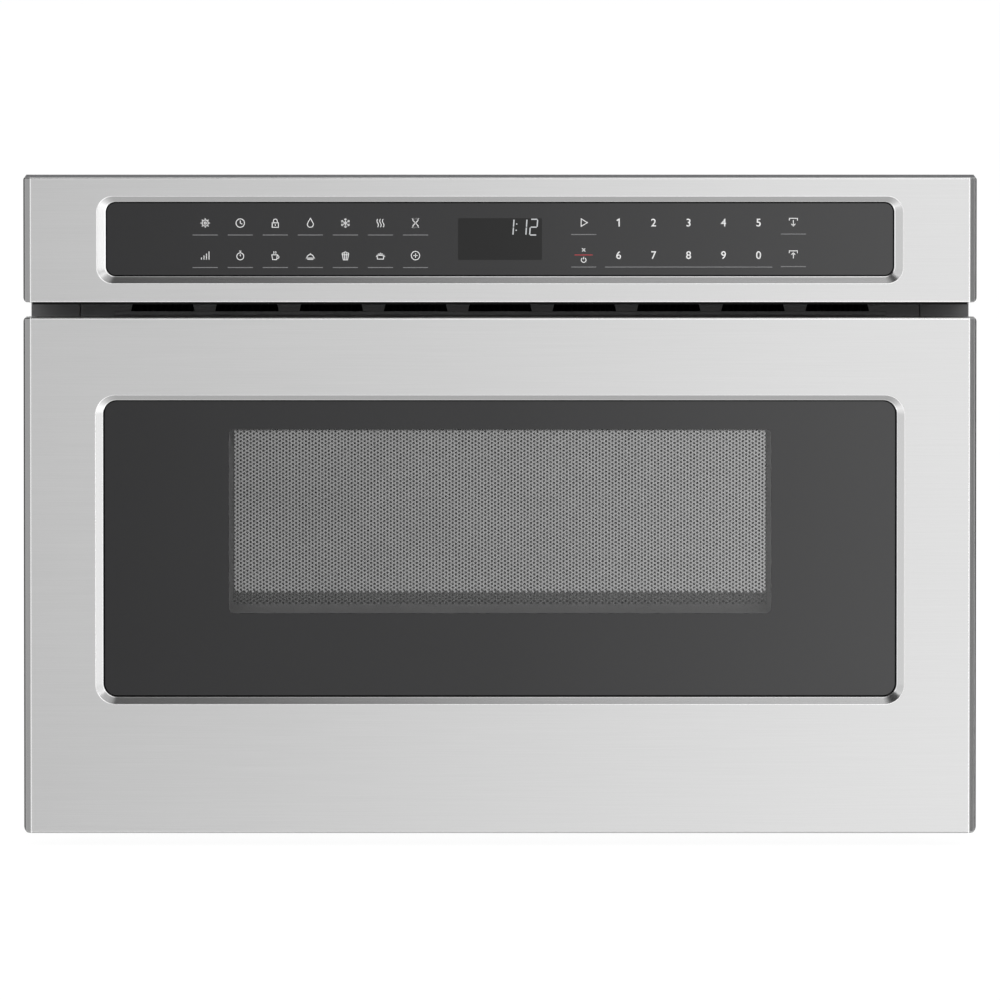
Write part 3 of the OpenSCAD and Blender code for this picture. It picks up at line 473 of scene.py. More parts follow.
@dataclass(frozen=True)
class Enamel(Finish):
    """Baked enamel with light and dark specks."""

    roughness: float = 0.29
    spread: Point2 = (0.95, 1.05)
    relief: float = 0.02 * MM
    strength: float = 0.3
    specks_per_metre: float = 650.0
    speck_strength: float = 0.22
    speck_edge: Point2 = (0.16, 0.3)
    dark_pick: Point2 = (0.78, 0.8)
    light_pick: Point2 = (0.12, 0.14)
    speck_tints: Point2 = (0.4, 1.6)
    coat: Point2 = (0.3, 0.12)

    def shade(self, graph: Graph) -> Channel:
        """Builds the finish's shader.

        Args:
            graph: graph of the material.

        Returns:
            The shader.
        """
        pick = graph.cells(self.specks_per_metre, "Color")
        speck = 1 - graph.cells(self.specks_per_metre).ramp(*self.speck_edge)
        dark, light = pick.ramp(*self.dark_pick) * speck, (1 - pick.ramp(*self.light_pick)) * speck
        flow = graph.noise(40.0, 2.0)
        base = graph.blend(flow, *map(self.tint, self.spread))
        for mask, factor in zip((dark, light), self.speck_tints):
            base = graph.blend(mask * self.speck_strength, base, self.tint(factor))
        roughness = flow * self.swing + (self.roughness - self.swing / 2)
        normal = graph.bump(flow, self.relief, self.strength)
        coat = dict(zip(("Coat Weight", "Coat Roughness"), self.coat))
        return graph.surface(base, roughness, 0.0, normal, coat)


@dataclass(frozen=True)
class Moulded(Finish):
    """Moulded plastic with a fine spark-eroded grain."""

    roughness: float = 0.45
    spread: Point2 = (0.92, 1.08)
    strength: float = 0.4
    drift_cycles: float = 18.0
    grain_cycles: float = 1500.0


@dataclass(frozen=True)
class MicaSheet(Finish):
    """Pressed mica with pearly flakes."""

    roughness: float = 0.4
    spread: Point2 = (0.8, 1.25)
    swing: float = 0.3
    strength: float = 0.4

    def patterns(self, graph: Graph) -> Patterns:
        """The patterns of the colour, the roughness and the relief."""
        flakes = graph.cells(260.0, "Color")
        return flakes, flakes, flakes


@dataclass(frozen=True)
class Laminations(Finish):
    """Varnished core sheets stacked along Y."""

    roughness: float = 0.4
    spread: Point2 = (0.6, 1.5)
    swing: float = 0.2
    relief: float = 0.08 * MM
    sheets_per_metre: float = 1000.0

    def patterns(self, graph: Graph) -> Patterns:
        """Lays the sheets' bands under a drift of varnish.

        Args:
            graph: graph of the material.

        Returns:
            The patterns of the colour, the roughness and the relief.
        """
        values = {"Vector": graph.place((0.0, self.sheets_per_metre, 0.0)), "Scale": 0.32}
        bands = graph.node("ShaderNodeTexWave", {"bands_direction": "Y"}, values, "Fac")
        varnish = graph.noise(60.0)
        return bands * 0.5 + varnish * 0.5, varnish, bands


@dataclass(frozen=True)
class BoardMask(Finish):
    """Solder mask over copper tracks."""

    roughness: float = 0.32

    def shade(self, graph: Graph) -> Channel:
        """Builds the finish's shader.

        Args:
            graph: graph of the material.

        Returns:
            The shader.
        """
        tracks = graph.cells(110.0, "Color", "SMOOTH_F1").ramp(0.48, 0.52)
        colour = graph.blend(tracks, self.colour, self.tint(1.8))
        return graph.surface(colour, self.roughness, 0.0, graph.bump(tracks, self.relief, self.strength))


@dataclass(frozen=True)
class GlassCeramic(Finish):
    """White glass ceramic, smooth on top."""

    roughness: float = 0.19
    spread: Point2 = (0.97, 1.03)
    relief: float = 0.004 * MM
    strength: float = 0.3

    def patterns(self, graph: Graph) -> Patterns:
        """The patterns of the colour, the roughness and the relief."""
        wear = graph.noise((300.0, 420.0, 300.0))
        return graph.noise(22.0), wear, wear

    def constants(self) -> dict[str, float]:
        """Values of the shader's other sockets."""
        return {"Coat Weight": 0.5, "Coat Roughness": 0.06}


@dataclass(frozen=True)
class DarkGlass(Finish):
    """Glass that is printed black on its back."""

    roughness: float = 0.05
    swing: float = 0.03
    refraction: float = 1.52
    smears: Point3 = (12.0, 12.0, 7.0)

    def patterns(self, graph: Graph) -> Patterns:
        """The patterns of the colour and the roughness. Glass has no relief."""
        smear = graph.noise(self.smears)
        return smear, smear, None

    def constants(self) -> dict[str, float]:
        """Values of the shader's other sockets."""
        return {"IOR": self.refraction}


@dataclass(frozen=True)
class SheetGlass(Finish):
    """Clear or tinted glass that shows what is behind it."""

    roughness: float = 0.03
    swing: float = 0.03
    smears: Point3 = (12.0, 12.0, 7.0)
    gloss_at_front: float = 0.043
    gloss_at_edge: float = 0.6
    edge_power: float = 4.0

    def shade(self, graph: Graph) -> Channel:
        """Builds the finish's shader.

        Args:
            graph: graph of the material.

        Returns:
            The shader.
        """
        through = graph.node("ShaderNodeBsdfTransparent", None, {"Color": (*self.colour, 1.0)})
        smear = graph.noise(self.smears) * self.swing + self.roughness
        gloss = graph.node("ShaderNodeBsdfGlossy", None, {"Color": WHITE, "Roughness": smear})
        facing = graph.node("ShaderNodeLayerWeight", None, {"Blend": 0.5}, "Facing")
        rise = self.gloss_at_edge - self.gloss_at_front
        factor = facing ** self.edge_power * rise + self.gloss_at_front
        front = 1 - graph.node("ShaderNodeNewGeometry", output="Backfacing")
        return graph.mix(factor * front, through, gloss)


@dataclass(frozen=True)
class Ink(Finish):
    """Screen print."""

    spread: Point2 = (0.94, 1.06)

    def patterns(self, graph: Graph) -> Patterns:
        """The patterns of the colour and the roughness. Ink has no relief."""
        mesh = graph.noise(4000.0, 1.0)
        return mesh, mesh, None


@dataclass(frozen=True)
class Glow(Finish):
    """Lit segments of the display."""

    spread: Point2 = (0.9, 1.05)
    light: float = 0.7

    def shade(self, graph: Graph) -> Channel:
        """Builds the finish's shader.

        Args:
            graph: graph of the material.

        Returns:
            The shader.
        """
        colour = graph.blend(graph.noise(2500.0, 1.0), *map(self.tint, self.spread))
        unlit = {"Base Color": (0.02, 0.02, 0.02, 1.0), "Roughness": 0.4}
        values = {"Emission Color": colour, "Emission Strength": self.light, **unlit}
        return graph.node("ShaderNodeBsdfPrincipled", None, values)


SLOT_FINISH: dict[Slot, Finish] = {
    Slot.STAINLESS: BrushedSteel("brushed_stainless", (0.6, 0.6, 0.6)),
    Slot.GALVANISED: Galvanised("galvanised_sheet", (0.56, 0.57, 0.58)),
    Slot.PLATED_STEEL: Plated("zinc_plated_steel", (0.6, 0.6, 0.58)),
    Slot.DARK_SHEET: PowderCoat("dark_powder_coat", (0.19, 0.19, 0.193)),
    Slot.GREY_ENAMEL: Enamel("speckled_enamel", (0.5, 0.5, 0.49)),
    Slot.BLACK_GLASS: DarkGlass("black_backed_glass", (0.012, 0.012, 0.013)),
    Slot.CLEAR_GLASS: SheetGlass("clear_pane_glass", (0.8, 0.83, 0.82)),
    Slot.BLACK_PLASTIC: Moulded("moulded_black", (0.022, 0.022, 0.024)),
    Slot.WHITE_PLASTIC: Moulded("white_acetal", (0.74, 0.73, 0.69), 0.35),
    Slot.RED_PLASTIC: Moulded("moulded_red", (0.42, 0.03, 0.025), 0.38),
    Slot.MICA: MicaSheet("mica_sheet", (0.62, 0.55, 0.43)),
    Slot.ALUMINIUM: Plated("rolled_aluminium", (0.78, 0.79, 0.8), 0.28),
    Slot.TRANSFORMER_STEEL: Laminations("varnished_core", (0.1, 0.07, 0.05)),
    Slot.CIRCUIT_BOARD: BoardMask("solder_mask", (0.02, 0.14, 0.06)),
    Slot.CERAMIC: GlassCeramic("white_glass_ceramic", (0.8, 0.8, 0.78)),
    Slot.PERFORATED_STEEL: Plated("perforated_sheet", (0.352, 0.352, 0.352), 0.26),
    Slot.BRONZE: Sintered("sintered_bronze", (0.55, 0.36, 0.2)),
}
# Dark paint on the screen's plain border, and painted shade on its lowest rows.
SCREEN_MASK_AND_SHADE = PowderCoat("screen_mask_and_painted_shade", (0.12, 0.12, 0.12), 0.6, gloss=0.1)
# Darker steel on the hems and side returns: painted shade. Its strokes run along Z.
PAINTED_SHADE_HEM_STEEL = BrushedSteel("cross_grained_painted_shade_hem", (0.36, 0.36, 0.36), 0.28, upright=True)
# Near-black coat on the outer part of the hem's bend: painted shade.
PAINTED_SHADE_RIM = PowderCoat("painted_shade_rim", (0.06, 0.06, 0.06), 0.7, gloss=0.1)
# Light steel on the fold rows, the groove beside the face and lines of the recess: painted highlights.
PAINTED_HIGHLIGHT_STEEL = BrushedSteel("painted_highlight_edge", (0.88, 0.88, 0.88), 0.22, spread=(0.98, 1.02))
BEVEL_STEEL = BrushedSteel("pressed_bevel", (0.62, 0.62, 0.62), 0.2)
# Dark grey on the control panel's stainless top return: painted shade.
PAINTED_SHADE_TOP = PowderCoat("painted_shade_panel_top", (0.15, 0.15, 0.155), 0.75, gloss=0.05)
TINTED_GLASS = SheetGlass("tinted_glass", (0.93, 0.93, 0.93))
# Near-black grained coat for strips that stand in for shade behind the vent slots and under the panel:
# painted shade.
NEAR_BLACK_SHADE = PowderCoat("near_black_painted_shade", (0.008, 0.008, 0.008), 0.9, relief=0.3 * MM, gloss=0.1)
GREY_INK = Ink("grey_ink", (0.2, 0.2, 0.205))
LINE_INK = Ink("line_ink", (0.09, 0.09, 0.092))
WHITE_INK = Ink("white_ink", (0.88, 0.88, 0.88))
RED_INK = Ink("red_ink", (0.45, 0.04, 0.05))
DISPLAY_FILM = DarkGlass("display_film", (0.002, 0.002, 0.002), 0.065, refraction=1.43)
CLOCK_LIGHT = Glow("clock_light", (0.8, 0.82, 0.84))


# ---------------------------------------------------------------- mesh tools


@dataclass(frozen=True)
class Box:
    """A node's box at rest."""

    lo: Vector
    hi: Vector

    @classmethod
    def of(cls, node: str) -> "Box":
        """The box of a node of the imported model."""
        return cls(*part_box(node))

    @property
    def mid(self) -> Vector:
        """Centre of the box."""
        return (self.lo + self.hi) / 2

    @property
    def size(self) -> Vector:
        """Size of the box."""
        return self.hi - self.lo


def arc_points(cx: float, cy: float, radius: float, start: float = 0, end: float = 360,
               steps: int = 16) -> list[Point2]:
    """Points on an arc around (cx, cy), from the start angle to the end angle in degrees."""
    turns = [math.radians(start + (end - start) * i / steps) for i in range(steps + 1)]
    return [(cx + radius * math.cos(a), cy + radius * math.sin(a)) for a in turns]


def rounded_outline(width: float, height: float, radius: float, steps: int = 10) -> list[Point2]:
    """Outline of a rectangle with round corners, counter-clockwise from the right side.

    Args:
        width: full width.
        height: full height.
        radius: corner radius.
        steps: pieces of each quarter circle.

    Returns:
        Points around the centre.
    """
    x, y = width / 2 - radius, height / 2 - radius
    points = []
    for start, (cx, cy) in zip((0, 90, 180, 270), ((x, y), (-x, y), (-x, -y), (x, -y))):
        points += arc_points(cx, cy, radius, start, start + 90, steps)
    return points


def standing_ring(outline: Iterable[Point2], centre: Point2, y: float) -> list[Point3]:
    """Puts (x, z) points around a centre upright at depth y."""
    return [(centre[0] + x, y, centre[1] + z) for x, z in outline]


def moved_back(ring: Iterable[Point3], depth: float) -> list[Point3]:
    """A ring moved back along Y."""
    return [(x, y + depth, z) for x, y, z in ring]


class Mould:
    """Collects the points and faces of one piece and turns them into an object."""

    def __init__(self, name: str) -> None:
        """Starts an empty piece.

        Args:
            name: the object's name.
        """
        self.name = name
        self.points: list[Point3] = []
        self.faces: list[tuple[int, ...]] = []
        self.kinds: list[int] = []

    def ring(self, points: Iterable[Point3]) -> list[int]:
        """Adds points.

        Args:
            points: the points in order.

        Returns:
            Their numbers.
        """
        first = len(self.points)
        self.points.extend(tuple(p) for p in points)
        return list(range(first, len(self.points)))

    def face(self, corners: Sequence[int], kind: int = 0) -> None:
        """Adds a face.

        Args:
            corners: point numbers; a repeat in a row counts once.
            kind: number of its material.
        """
        kept = [c for i, c in enumerate(corners) if c != corners[i - 1]]
        if len(set(kept)) > 2:
            self.faces.append(tuple(kept))
            self.kinds.append(kind)

    def bridge(self, first: Sequence[int], second: Sequence[int], kind: int = 0, closed: bool = True) -> None:
        """Joins two rings of equal length with quads.

        Args:
            first: a ring.
            second: the next ring.
            kind: number of the material.
            closed: True joins the last points to the first ones.
        """
        count = len(first)
        for i in range(count if closed else count - 1):
            j = (i + 1) % count
            self.face((first[i], first[j], second[j], second[i]), kind)

    def loft(self, rings: Iterable[Sequence[Point3]], capped: bool = True) -> list[list[int]]:
        """Joins rings in order and closes both ends.

        Args:
            rings: rings of equal length.
            capped: True closes the first and last ring with a face.

        Returns:
            The rings' point numbers.
        """
        made = [self.ring(r) for r in rings]
        for a, b in zip(made, made[1:]):
            self.bridge(a, b)
        if capped:
            self.face(made[0][::-1])
            self.face(made[-1])
        return made

    def plate(self, box: Box, radius: float, edge: float, window: Sequence[Point2] = ()) -> None:
        """Adds a standing plate with round corners and small bevels along its edges.

        Args:
            box: the plate's box.
            radius: corner radius.
            edge: size of the edge bevel.
            window: outline around the plate's centre whose faces get the second material.
        """
        centre, size = (box.mid.x, box.mid.z), box.size
        steps = ((edge, 0.0), (edge * 0.3, edge * 0.3), (0.0, edge))
        front = [(inset, box.lo.y + depth) for inset, depth in steps]
        back = [(inset, box.hi.y - depth) for inset, depth in reversed(steps)]
        outlines = [(rounded_outline(size.x - 2 * i, size.z - 2 * i, radius - i), y) for i, y in front + back]
        made = self.loft([standing_ring(outline, centre, y) for outline, y in outlines], not window)
        if window:
            for ring, y in ((made[0], box.lo.y), (made[-1], box.hi.y)):
                pane = self.ring(standing_ring(window, centre, y))
                self.bridge(ring, pane)
                self.face(pane, 1)

    def frame(self, outer: Sequence[Point3], inner: Sequence[Point3], depth: float) -> None:
        """Adds a flat closed frame between two rings of equal length.

        Args:
            outer: outer ring.
            inner: inner ring.
            depth: how far the frame goes back along Y.
        """
        rings = [self.ring(r) for r in (outer, inner, moved_back(inner, depth), moved_back(outer, depth))]
        for a, b in zip(rings, rings[1:] + rings[:1]):
            self.bridge(a, b)

    def ribbon(self, path: Sequence[Point2], width: float, centre: Point2, y: float, depth: float) -> None:
        """Adds a printed stroke along a path in the XZ plane.

        Args:
            path: points (x, z) around the centre; a path that ends where it starts is closed.
            width: width of the stroke.
            centre: centre (x, z).
            y: depth of its front.
            depth: thickness along Y.
        """
        points = [Vector(p) for p in path]
        closed = (points[0] - points[-1]).length < SAME_POINT
        if closed:
            points.pop()
        ahead = [(b - a).normalized() for a, b in zip(points, points[1:] + points[:1])]
        if not closed:
            ahead[-1] = ahead[-2]
        back = [ahead[-1] if closed else ahead[0], *ahead[:-1]]
        sides = []
        for point, a, b in zip(points, back, ahead):
            along = (a + b).normalized() if (a + b).length > TURN_BACK else b
            across = Vector((-along.y, along.x)) * (width / 2 / max(MITRE_LIMIT, along.dot(b)))
            sides.append((point + across, point - across))
        left, right = (standing_ring(side, centre, y) for side in zip(*sides))
        if closed:
            self.frame(left, right, depth)
            return
        for i in range(len(points) - 1):
            quad = (left[i], left[i + 1], right[i + 1], right[i])
            self.loft([quad, moved_back(quad, depth)])

    def build(self, finishes: Sequence[Finish], body: Body = Body.CABINET, slot: Slot | None = None,
              stands_for: str | None = None, smooth: float = 32.0, thickness: float = 0.0,
              weighted: bool = True) -> None:
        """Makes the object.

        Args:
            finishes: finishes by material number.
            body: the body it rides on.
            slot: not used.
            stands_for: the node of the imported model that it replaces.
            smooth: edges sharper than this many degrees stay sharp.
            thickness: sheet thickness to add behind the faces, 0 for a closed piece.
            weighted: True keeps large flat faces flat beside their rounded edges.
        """
        mesh = bpy.data.meshes.new(self.name)
        mesh.from_pydata(self.points, [], self.faces)
        mesh.polygons.foreach_set("material_index", self.kinds)
        for finish in finishes:
            mesh.materials.append(finish.material())
        work = bmesh.new()
        work.from_mesh(mesh)
        bmesh.ops.remove_doubles(work, verts=work.verts, dist=HAIR)
        bmesh.ops.recalc_face_normals(work, faces=work.faces)
        work.to_mesh(mesh)
        work.free()
        mesh.shade_smooth()
        mesh.set_sharp_from_angle(angle=math.radians(smooth))
        made = bpy.data.objects.new(self.name, mesh)
        bpy.context.scene.collection.objects.link(made)
        if thickness:
            solid = made.modifiers.new("sheet", "SOLIDIFY")
            solid.thickness = thickness
            solid.offset = -1.0
        if weighted:
            made.modifiers.new("flat_faces", "WEIGHTED_NORMAL").keep_sharp = True
        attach(made, body.value)
        if stands_for is not None:
            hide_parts(stands_for)
        log.info("%s: %d faces on %s", self.name, len(mesh.polygons), body.value)


# ---------------------------------------------------------------- carried-over pieces


@dataclass
class CarriedOver:
    """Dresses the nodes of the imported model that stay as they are."""

    edge_width: float = 0.35 * MM
    weld_distance: float = 0.005 * MM
    edge_angle: float = 50.0
    softened: tuple[str, ...] = (
        "latch_hooks", "door_frame", "choke_frame", "drawer_rails", "mounting_flange_left",
        "mounting_flange_right", "cord_gland", "front_plate",
    )

    def dress(self) -> None:
        """Gives each node its slot's finish and softens the edges of those that show."""
        for part in frame["record"]["subparts"]:
            node = frame["nodes"][part["node"]]
            finish = SLOT_FINISH[Slot(part["material_slot"])]
            node.data.materials.clear()
            node.data.materials.append(finish.material())
            if part["node"] in self.softened:
                self._soften(node)
            log.info("%s: carried over in %s", part["node"], finish.name)

    def _soften(self, node: bpy.types.Object) -> None:
        """Breaks the sharp edges of a node.

        Args:
            node: the node's object.
        """
        node.modifiers.new("weld", "WELD").merge_threshold = self.weld_distance
        bevel = node.modifiers.new("edge", "BEVEL")
        bevel.width = self.edge_width
        bevel.segments = 2
        bevel.limit_method = "ANGLE"
        bevel.angle_limit = math.radians(self.edge_angle)


# ---------------------------------------------------------------- folded fronts


class Zone(IntEnum):
    """Material numbers of a folded front. HEM and RIM hold painted shade, EDGE painted highlights, and TOP
    the front's top finish, which on the control panel is painted shade.
    """

    FACE = 0
    HEM = 1
    EDGE = 2
    BEVEL = 3
    TOP = 4
    RIM = 5


@dataclass
class Recess:
    """The pressed recess around a glass: its slopes are as wide as side, top and bottom say.

    The slope along the top ends top_lift nearer to the face than the others. edge_round shapes the
    outer edge as (width, depth), both in shares of edge, and shine holds the ends of a thin band near the
    glass. zones gives the outer edge and that band the EDGE zone: painted highlight lines.
    """

    glass: Box
    corner: float
    outer_corner: float
    depth: float
    side: float
    top: float
    bottom: float
    gap: float = 0.5 * MM
    edge: float = 0.1
    step: float = 0.8 * MM
    lip: float = 3 * MM
    top_lift: float = 0.0
    edge_round: tuple[Point2, ...] = ((1.0, 0.0), (0.45, 0.12), (0.0, 0.5))
    shine: tuple[float, float] = (0.17, 0.04)
    step_share: float = 0.45
    corner_steps: int = 12
    zones: tuple[Zone, ...] = (Zone.EDGE, Zone.EDGE, Zone.BEVEL, Zone.EDGE, Zone.BEVEL, Zone.BEVEL)

    def ring(self, share: float, y: float) -> list[Point3]:
        """The recess's outline at one depth.

        Args:
            share: 0 at the glass, 1 at the face.
            y: depth.

        Returns:
            The ring's points.
        """
        x = self.glass.hi.x + self.gap + self.side * share
        low = self.glass.lo.z - self.gap - self.bottom * share
        high = self.glass.hi.z + self.gap + self.top * share
        corner = self.corner + self.gap + (self.outer_corner - self.corner) * share
        outline = rounded_outline(2 * x, high - low, corner, self.corner_steps)
        flat = standing_ring(outline, (0.0, (low + high) / 2), y)
        lift = self.top_lift * max(0.0, 1 - share)
        return [(px, py - lift * max(0.0, 1 - (high - pz) / corner), pz) for px, py, pz in flat]

    def rings(self, face_y: float) -> list[list[Point3]]:
        """Rings from the face to the lip behind the glass.

        Args:
            face_y: depth of the face.

        Returns:
            The rings.
        """
        slope = self.depth - self.step
        steps = [(1 + self.edge * out, slope * self.edge * sink) for out, sink in self.edge_round]
        steps += [(share, slope * (1 - share)) for share in self.shine]
        steps += [(0.0, slope + self.step * self.step_share), (0.0, self.depth + self.lip)]
        return [self.ring(share, face_y + depth) for share, depth in steps]


@dataclass
class FoldedFront:
    """A front folded from one sheet: face, hemmed side edges, side returns, end returns and recess.

    groove_profile holds the groove beside the face in millimetres: (distance from the hem towards the
    face, depth, turn of the normal in degrees, zone). rim_turns holds (turn, zone) around the hem's bend.
    """

    name: str
    node: str
    body: Body
    recess: Recess
    top_depth: float
    bottom_depth: float
    top_finish: Finish
    notch: float = 0.0
    low_corner: float = 2.2 * MM
    high_corner: float = 0.5 * MM
    relief: float = 3 * MM
    painted_highlight_bottom: bool = True
    hem: float = 4.4 * MM
    lean: float = 16.0
    bend: float = 1.6 * MM
    fold: float = 0.9 * MM
    thickness: float = 0.9 * MM
    notch_front: float = 5 * MM
    fold_turns: tuple[float, ...] = (90, 60, 30, 0)
    groove_profile: tuple[tuple[float, float, float, Zone], ...] = (
        (0.55, 0.0, 0, Zone.FACE), (0.2, 0.07, 0, Zone.EDGE), (0.0, 0.3, 0, Zone.EDGE),
        (-0.2, 0.4, 0, Zone.HEM), (-0.45, 0.3, 10, Zone.HEM),
    )
    rim_turns: tuple[tuple[float, Zone], ...] = (
        (30, Zone.HEM), (42, Zone.RIM), (58, Zone.RIM), (74, Zone.RIM), (90, Zone.HEM),
    )
    box: Box = field(init=False)

    def __post_init__(self) -> None:
        """Reads the box of the node that the front stands for."""
        self.box = Box.of(self.node)

    def _half_plan(self) -> list[tuple[float, float, float, Zone]]:
        """Plan of one side from the face's edge to the back.

        Returns:
            (distance from the side, depth, turn of the normal in degrees, zone) of each point.
        """
        plan = [(self.hem + out * MM, depth * MM, turn, zone)
                for out, depth, turn, zone in self.groove_profile]
        bend = self.bend
        rise = plan[-1][1] + (plan[-1][0] - bend) * math.tan(math.radians(self.lean))
        plan.append((bend, rise, 20, Zone.HEM))
        for turn, zone in self.rim_turns:
            angle = math.radians(turn)
            plan.append((bend * (1 - math.sin(angle)), rise + bend * (1 - math.cos(angle)), turn, zone))
        ends = sorted({self.top_depth, self.bottom_depth, self.box.size.y})
        return plan + [(0.0, depth, 90, Zone.HEM) for depth in ends]

    def _rows(self) -> tuple[list[Point2], list[Point2]]:
        """Rows around the lower and the upper fold, from low to high.

        Returns:
            (height, pull) of each row, for the lower fold and for the upper one.
        """
        lo, hi, fold = self.box.lo.z, self.box.hi.z, self.fold
        ends = [(fold * (1 - math.sin(a)), fold * (1 - math.cos(a)))
                for a in map(math.radians, self.fold_turns)]
        high_rows = [(hi - rise, pull) for rise, pull in reversed(ends)]
        return [(lo + rise, pull) for rise, pull in ends], high_rows

    def build(self) -> None:
        """Makes the front."""
        mould = Mould(self.name)
        half, (low_rows, high_rows) = self._half_plan(), self._rows()
        front, side = self.box.lo.y, self.box.hi.x
        rings = self.recess.rings(front)
        previous = mould.ring(rings[0])
        outer = self._face_edge(rings[0], side - half[0][0], low_rows[-1][0], high_rows[0][0])
        mould.bridge(mould.ring(outer), previous)
        for ring, zone in zip(rings[1:], self.recess.zones):
            current = mould.ring(ring)
            mould.bridge(previous, current, zone)
            previous = current
        xs, zs = (sorted({round(p[axis], 8): p[axis] for p in outer}.values()) for axis in (0, 2))
        columns = [(inset - side, depth, -turn, zone) for inset, depth, turn, zone in reversed(half)]
        columns += [(x, 0.0, 0.0, Zone.FACE) for x in xs[1:-1]]
        columns += [(side - inset, depth, turn, zone) for inset, depth, turn, zone in half]
        rows = low_rows[:-1] + [(z, 0.0) for z in zs] + high_rows[1:]
        grid = []
        for x, depth, turn, zone in columns:
            across, inward = -math.sin(math.radians(turn)), math.cos(math.radians(turn))
            ends = [self._end(z, pull, side - abs(x), depth) for z, pull in rows]
            points = [(x + across * pull, front + depth + inward * pull, z) for z, pull in ends]
            grid.append((zone, mould.ring(points)))
        self._skin(mould, grid, len(half), len(low_rows))
        self._returns(mould, [column for _, column in grid])
        # The hem and rim zones get painted shade, the edge zone painted highlights, and the top zone the
        # given top finish.
        stainless = SLOT_FINISH[Slot.STAINLESS]
        finishes = (stainless, PAINTED_SHADE_HEM_STEEL, PAINTED_HIGHLIGHT_STEEL, BEVEL_STEEL, self.top_finish, PAINTED_SHADE_RIM)
        mould.build(finishes, self.body, Slot.STAINLESS, self.node, smooth=40.0, thickness=self.thickness)

    def _end(self, z: float, pull: float, inset: float, depth: float) -> Point2:
        """Shapes the ends of the sides: round corners, and a relief behind the returns.

        Args:
            z: height of the point's row.
            pull: how far the row is drawn in.
            inset: distance from the side.
            depth: depth behind the face.

        Returns:
            The point's height and how far it is drawn in.
        """
        from_low, from_high = z - self.box.lo.z, self.box.hi.z - z
        if min(from_low, from_high) > self.fold * 1.01:
            return z, pull
        lower = from_low < from_high
        reach, radius = (self.bottom_depth, self.low_corner) if lower else (self.top_depth, self.high_corner)
        rise = radius - math.sqrt(radius ** 2 - max(0.0, radius - inset) ** 2)
        if depth > reach + 10 * HAIR:
            rise, pull = rise + self.relief, 0.0
        return z + rise if lower else z - rise, pull

    @staticmethod
    def _face_edge(ring: Sequence[Point3], face_x: float, low: float, high: float) -> list[Point3]:
        """Points on the flat face's edges, one beside each point of the recess's outer ring.

        Args:
            ring: the recess's outer ring.
            face_x: half width of the face.
            low: lower edge of the face.
            high: upper edge of the face.

        Returns:
            The points in the ring's order.
        """
        steps = len(ring) // 4
        middle, outer = steps // 2, []
        for i, (x, y, z) in enumerate(ring):
            corner, step = divmod(i, steps)
            on_side = step <= middle if corner in (0, 2) else step >= middle
            on_end = step == middle or not on_side
            edge_z = high if z > (low + high) / 2 else low
            outer.append((math.copysign(face_x, x) if on_side else x, y, edge_z if on_end else z))
        return outer

    def _skin(self, mould: Mould, grid: Sequence[tuple[Zone, list[int]]], edge: int, fold_rows: int) -> None:
        """Fills the grid around the face.

        Args:
            mould: the piece.
            grid: (zone, point numbers) of each column.
            edge: columns on each side of the face.
            fold_rows: rows of each fold.
        """
        last = len(grid[0][1]) - 1
        for c, ((zone_a, a), (zone_b, b)) in enumerate(zip(grid, grid[1:])):
            on_face = edge - 1 <= c < len(grid) - edge
            for r in range(last):
                at_end = not fold_rows - 1 <= r < last - fold_rows + 1
                if on_face and not at_end:
                    continue
                zone = Zone.FACE if on_face else max(zone_a, zone_b)
                # Face rows on the folds get the light steel as a painted highlight; the lower fold only when
                # the front asks for it.
                if at_end and zone == Zone.FACE and (self.painted_highlight_bottom or r >= fold_rows):
                    zone = Zone.EDGE
                mould.face((a[r], b[r], b[r + 1], a[r + 1]), zone)

    def _returns(self, mould: Mould, columns: Sequence[list[int]]) -> None:
        """Adds the flat returns at the top and at the bottom.

        Args:
            mould: the piece.
            columns: point numbers of each column of the grid.
        """
        front, near = self.box.lo.y, self.box.lo.y + self.notch_front
        ends = ((0, self.box.lo.z, self.bottom_depth, 0.0, Zone.FACE),
                (-1, self.box.hi.z, self.top_depth, self.notch / 2, Zone.TOP))
        for row, z, depth, half, zone in ends:
            end = front + depth
            kept = [column[row] for column in columns if mould.points[column[row]][1] <= end + 10 * HAIR]
            flat = [n for n in kept if abs(mould.points[n][2] - z) < HAIR]
            left = self._round_end(mould, kept, flat[0], end, zone)
            right = self._round_end(mould, kept[::-1], flat[-1], end, zone)
            notch = [(half, end, z), (half, near, z), (-half, near, z), (-half, end, z)] if half else []
            mould.face([*flat, right, *mould.ring(notch), left], zone)

    @staticmethod
    def _round_end(mould: Mould, edge: Sequence[int], flat: int, end: float, zone: Zone) -> int:
        """Adds the round end of a return, from the side to its flat middle.

        Args:
            mould: the piece.
            edge: point numbers from the side's back corner round to the front.
            flat: the first of them on the flat middle.
            end: depth of the return's free edge.
            zone: its zone.

        Returns:
            Number of the point behind the first one on the flat middle.
        """
        side_x = mould.points[edge[0]][0]
        start = max(i for i, n in enumerate(edge) if abs(mould.points[n][0] - side_x) < HAIR)
        behind, corners = edge[0], list(edge[:start + 1])
        for number in edge[start + 1:edge.index(flat) + 1]:
            x, _, z = mould.points[number]
            behind = mould.ring([(x, end, z)])[0]
            mould.face([*corners, number, behind], zone)
            corners = [behind, number]
        return behind


# ---------------------------------------------------------------- legends and display


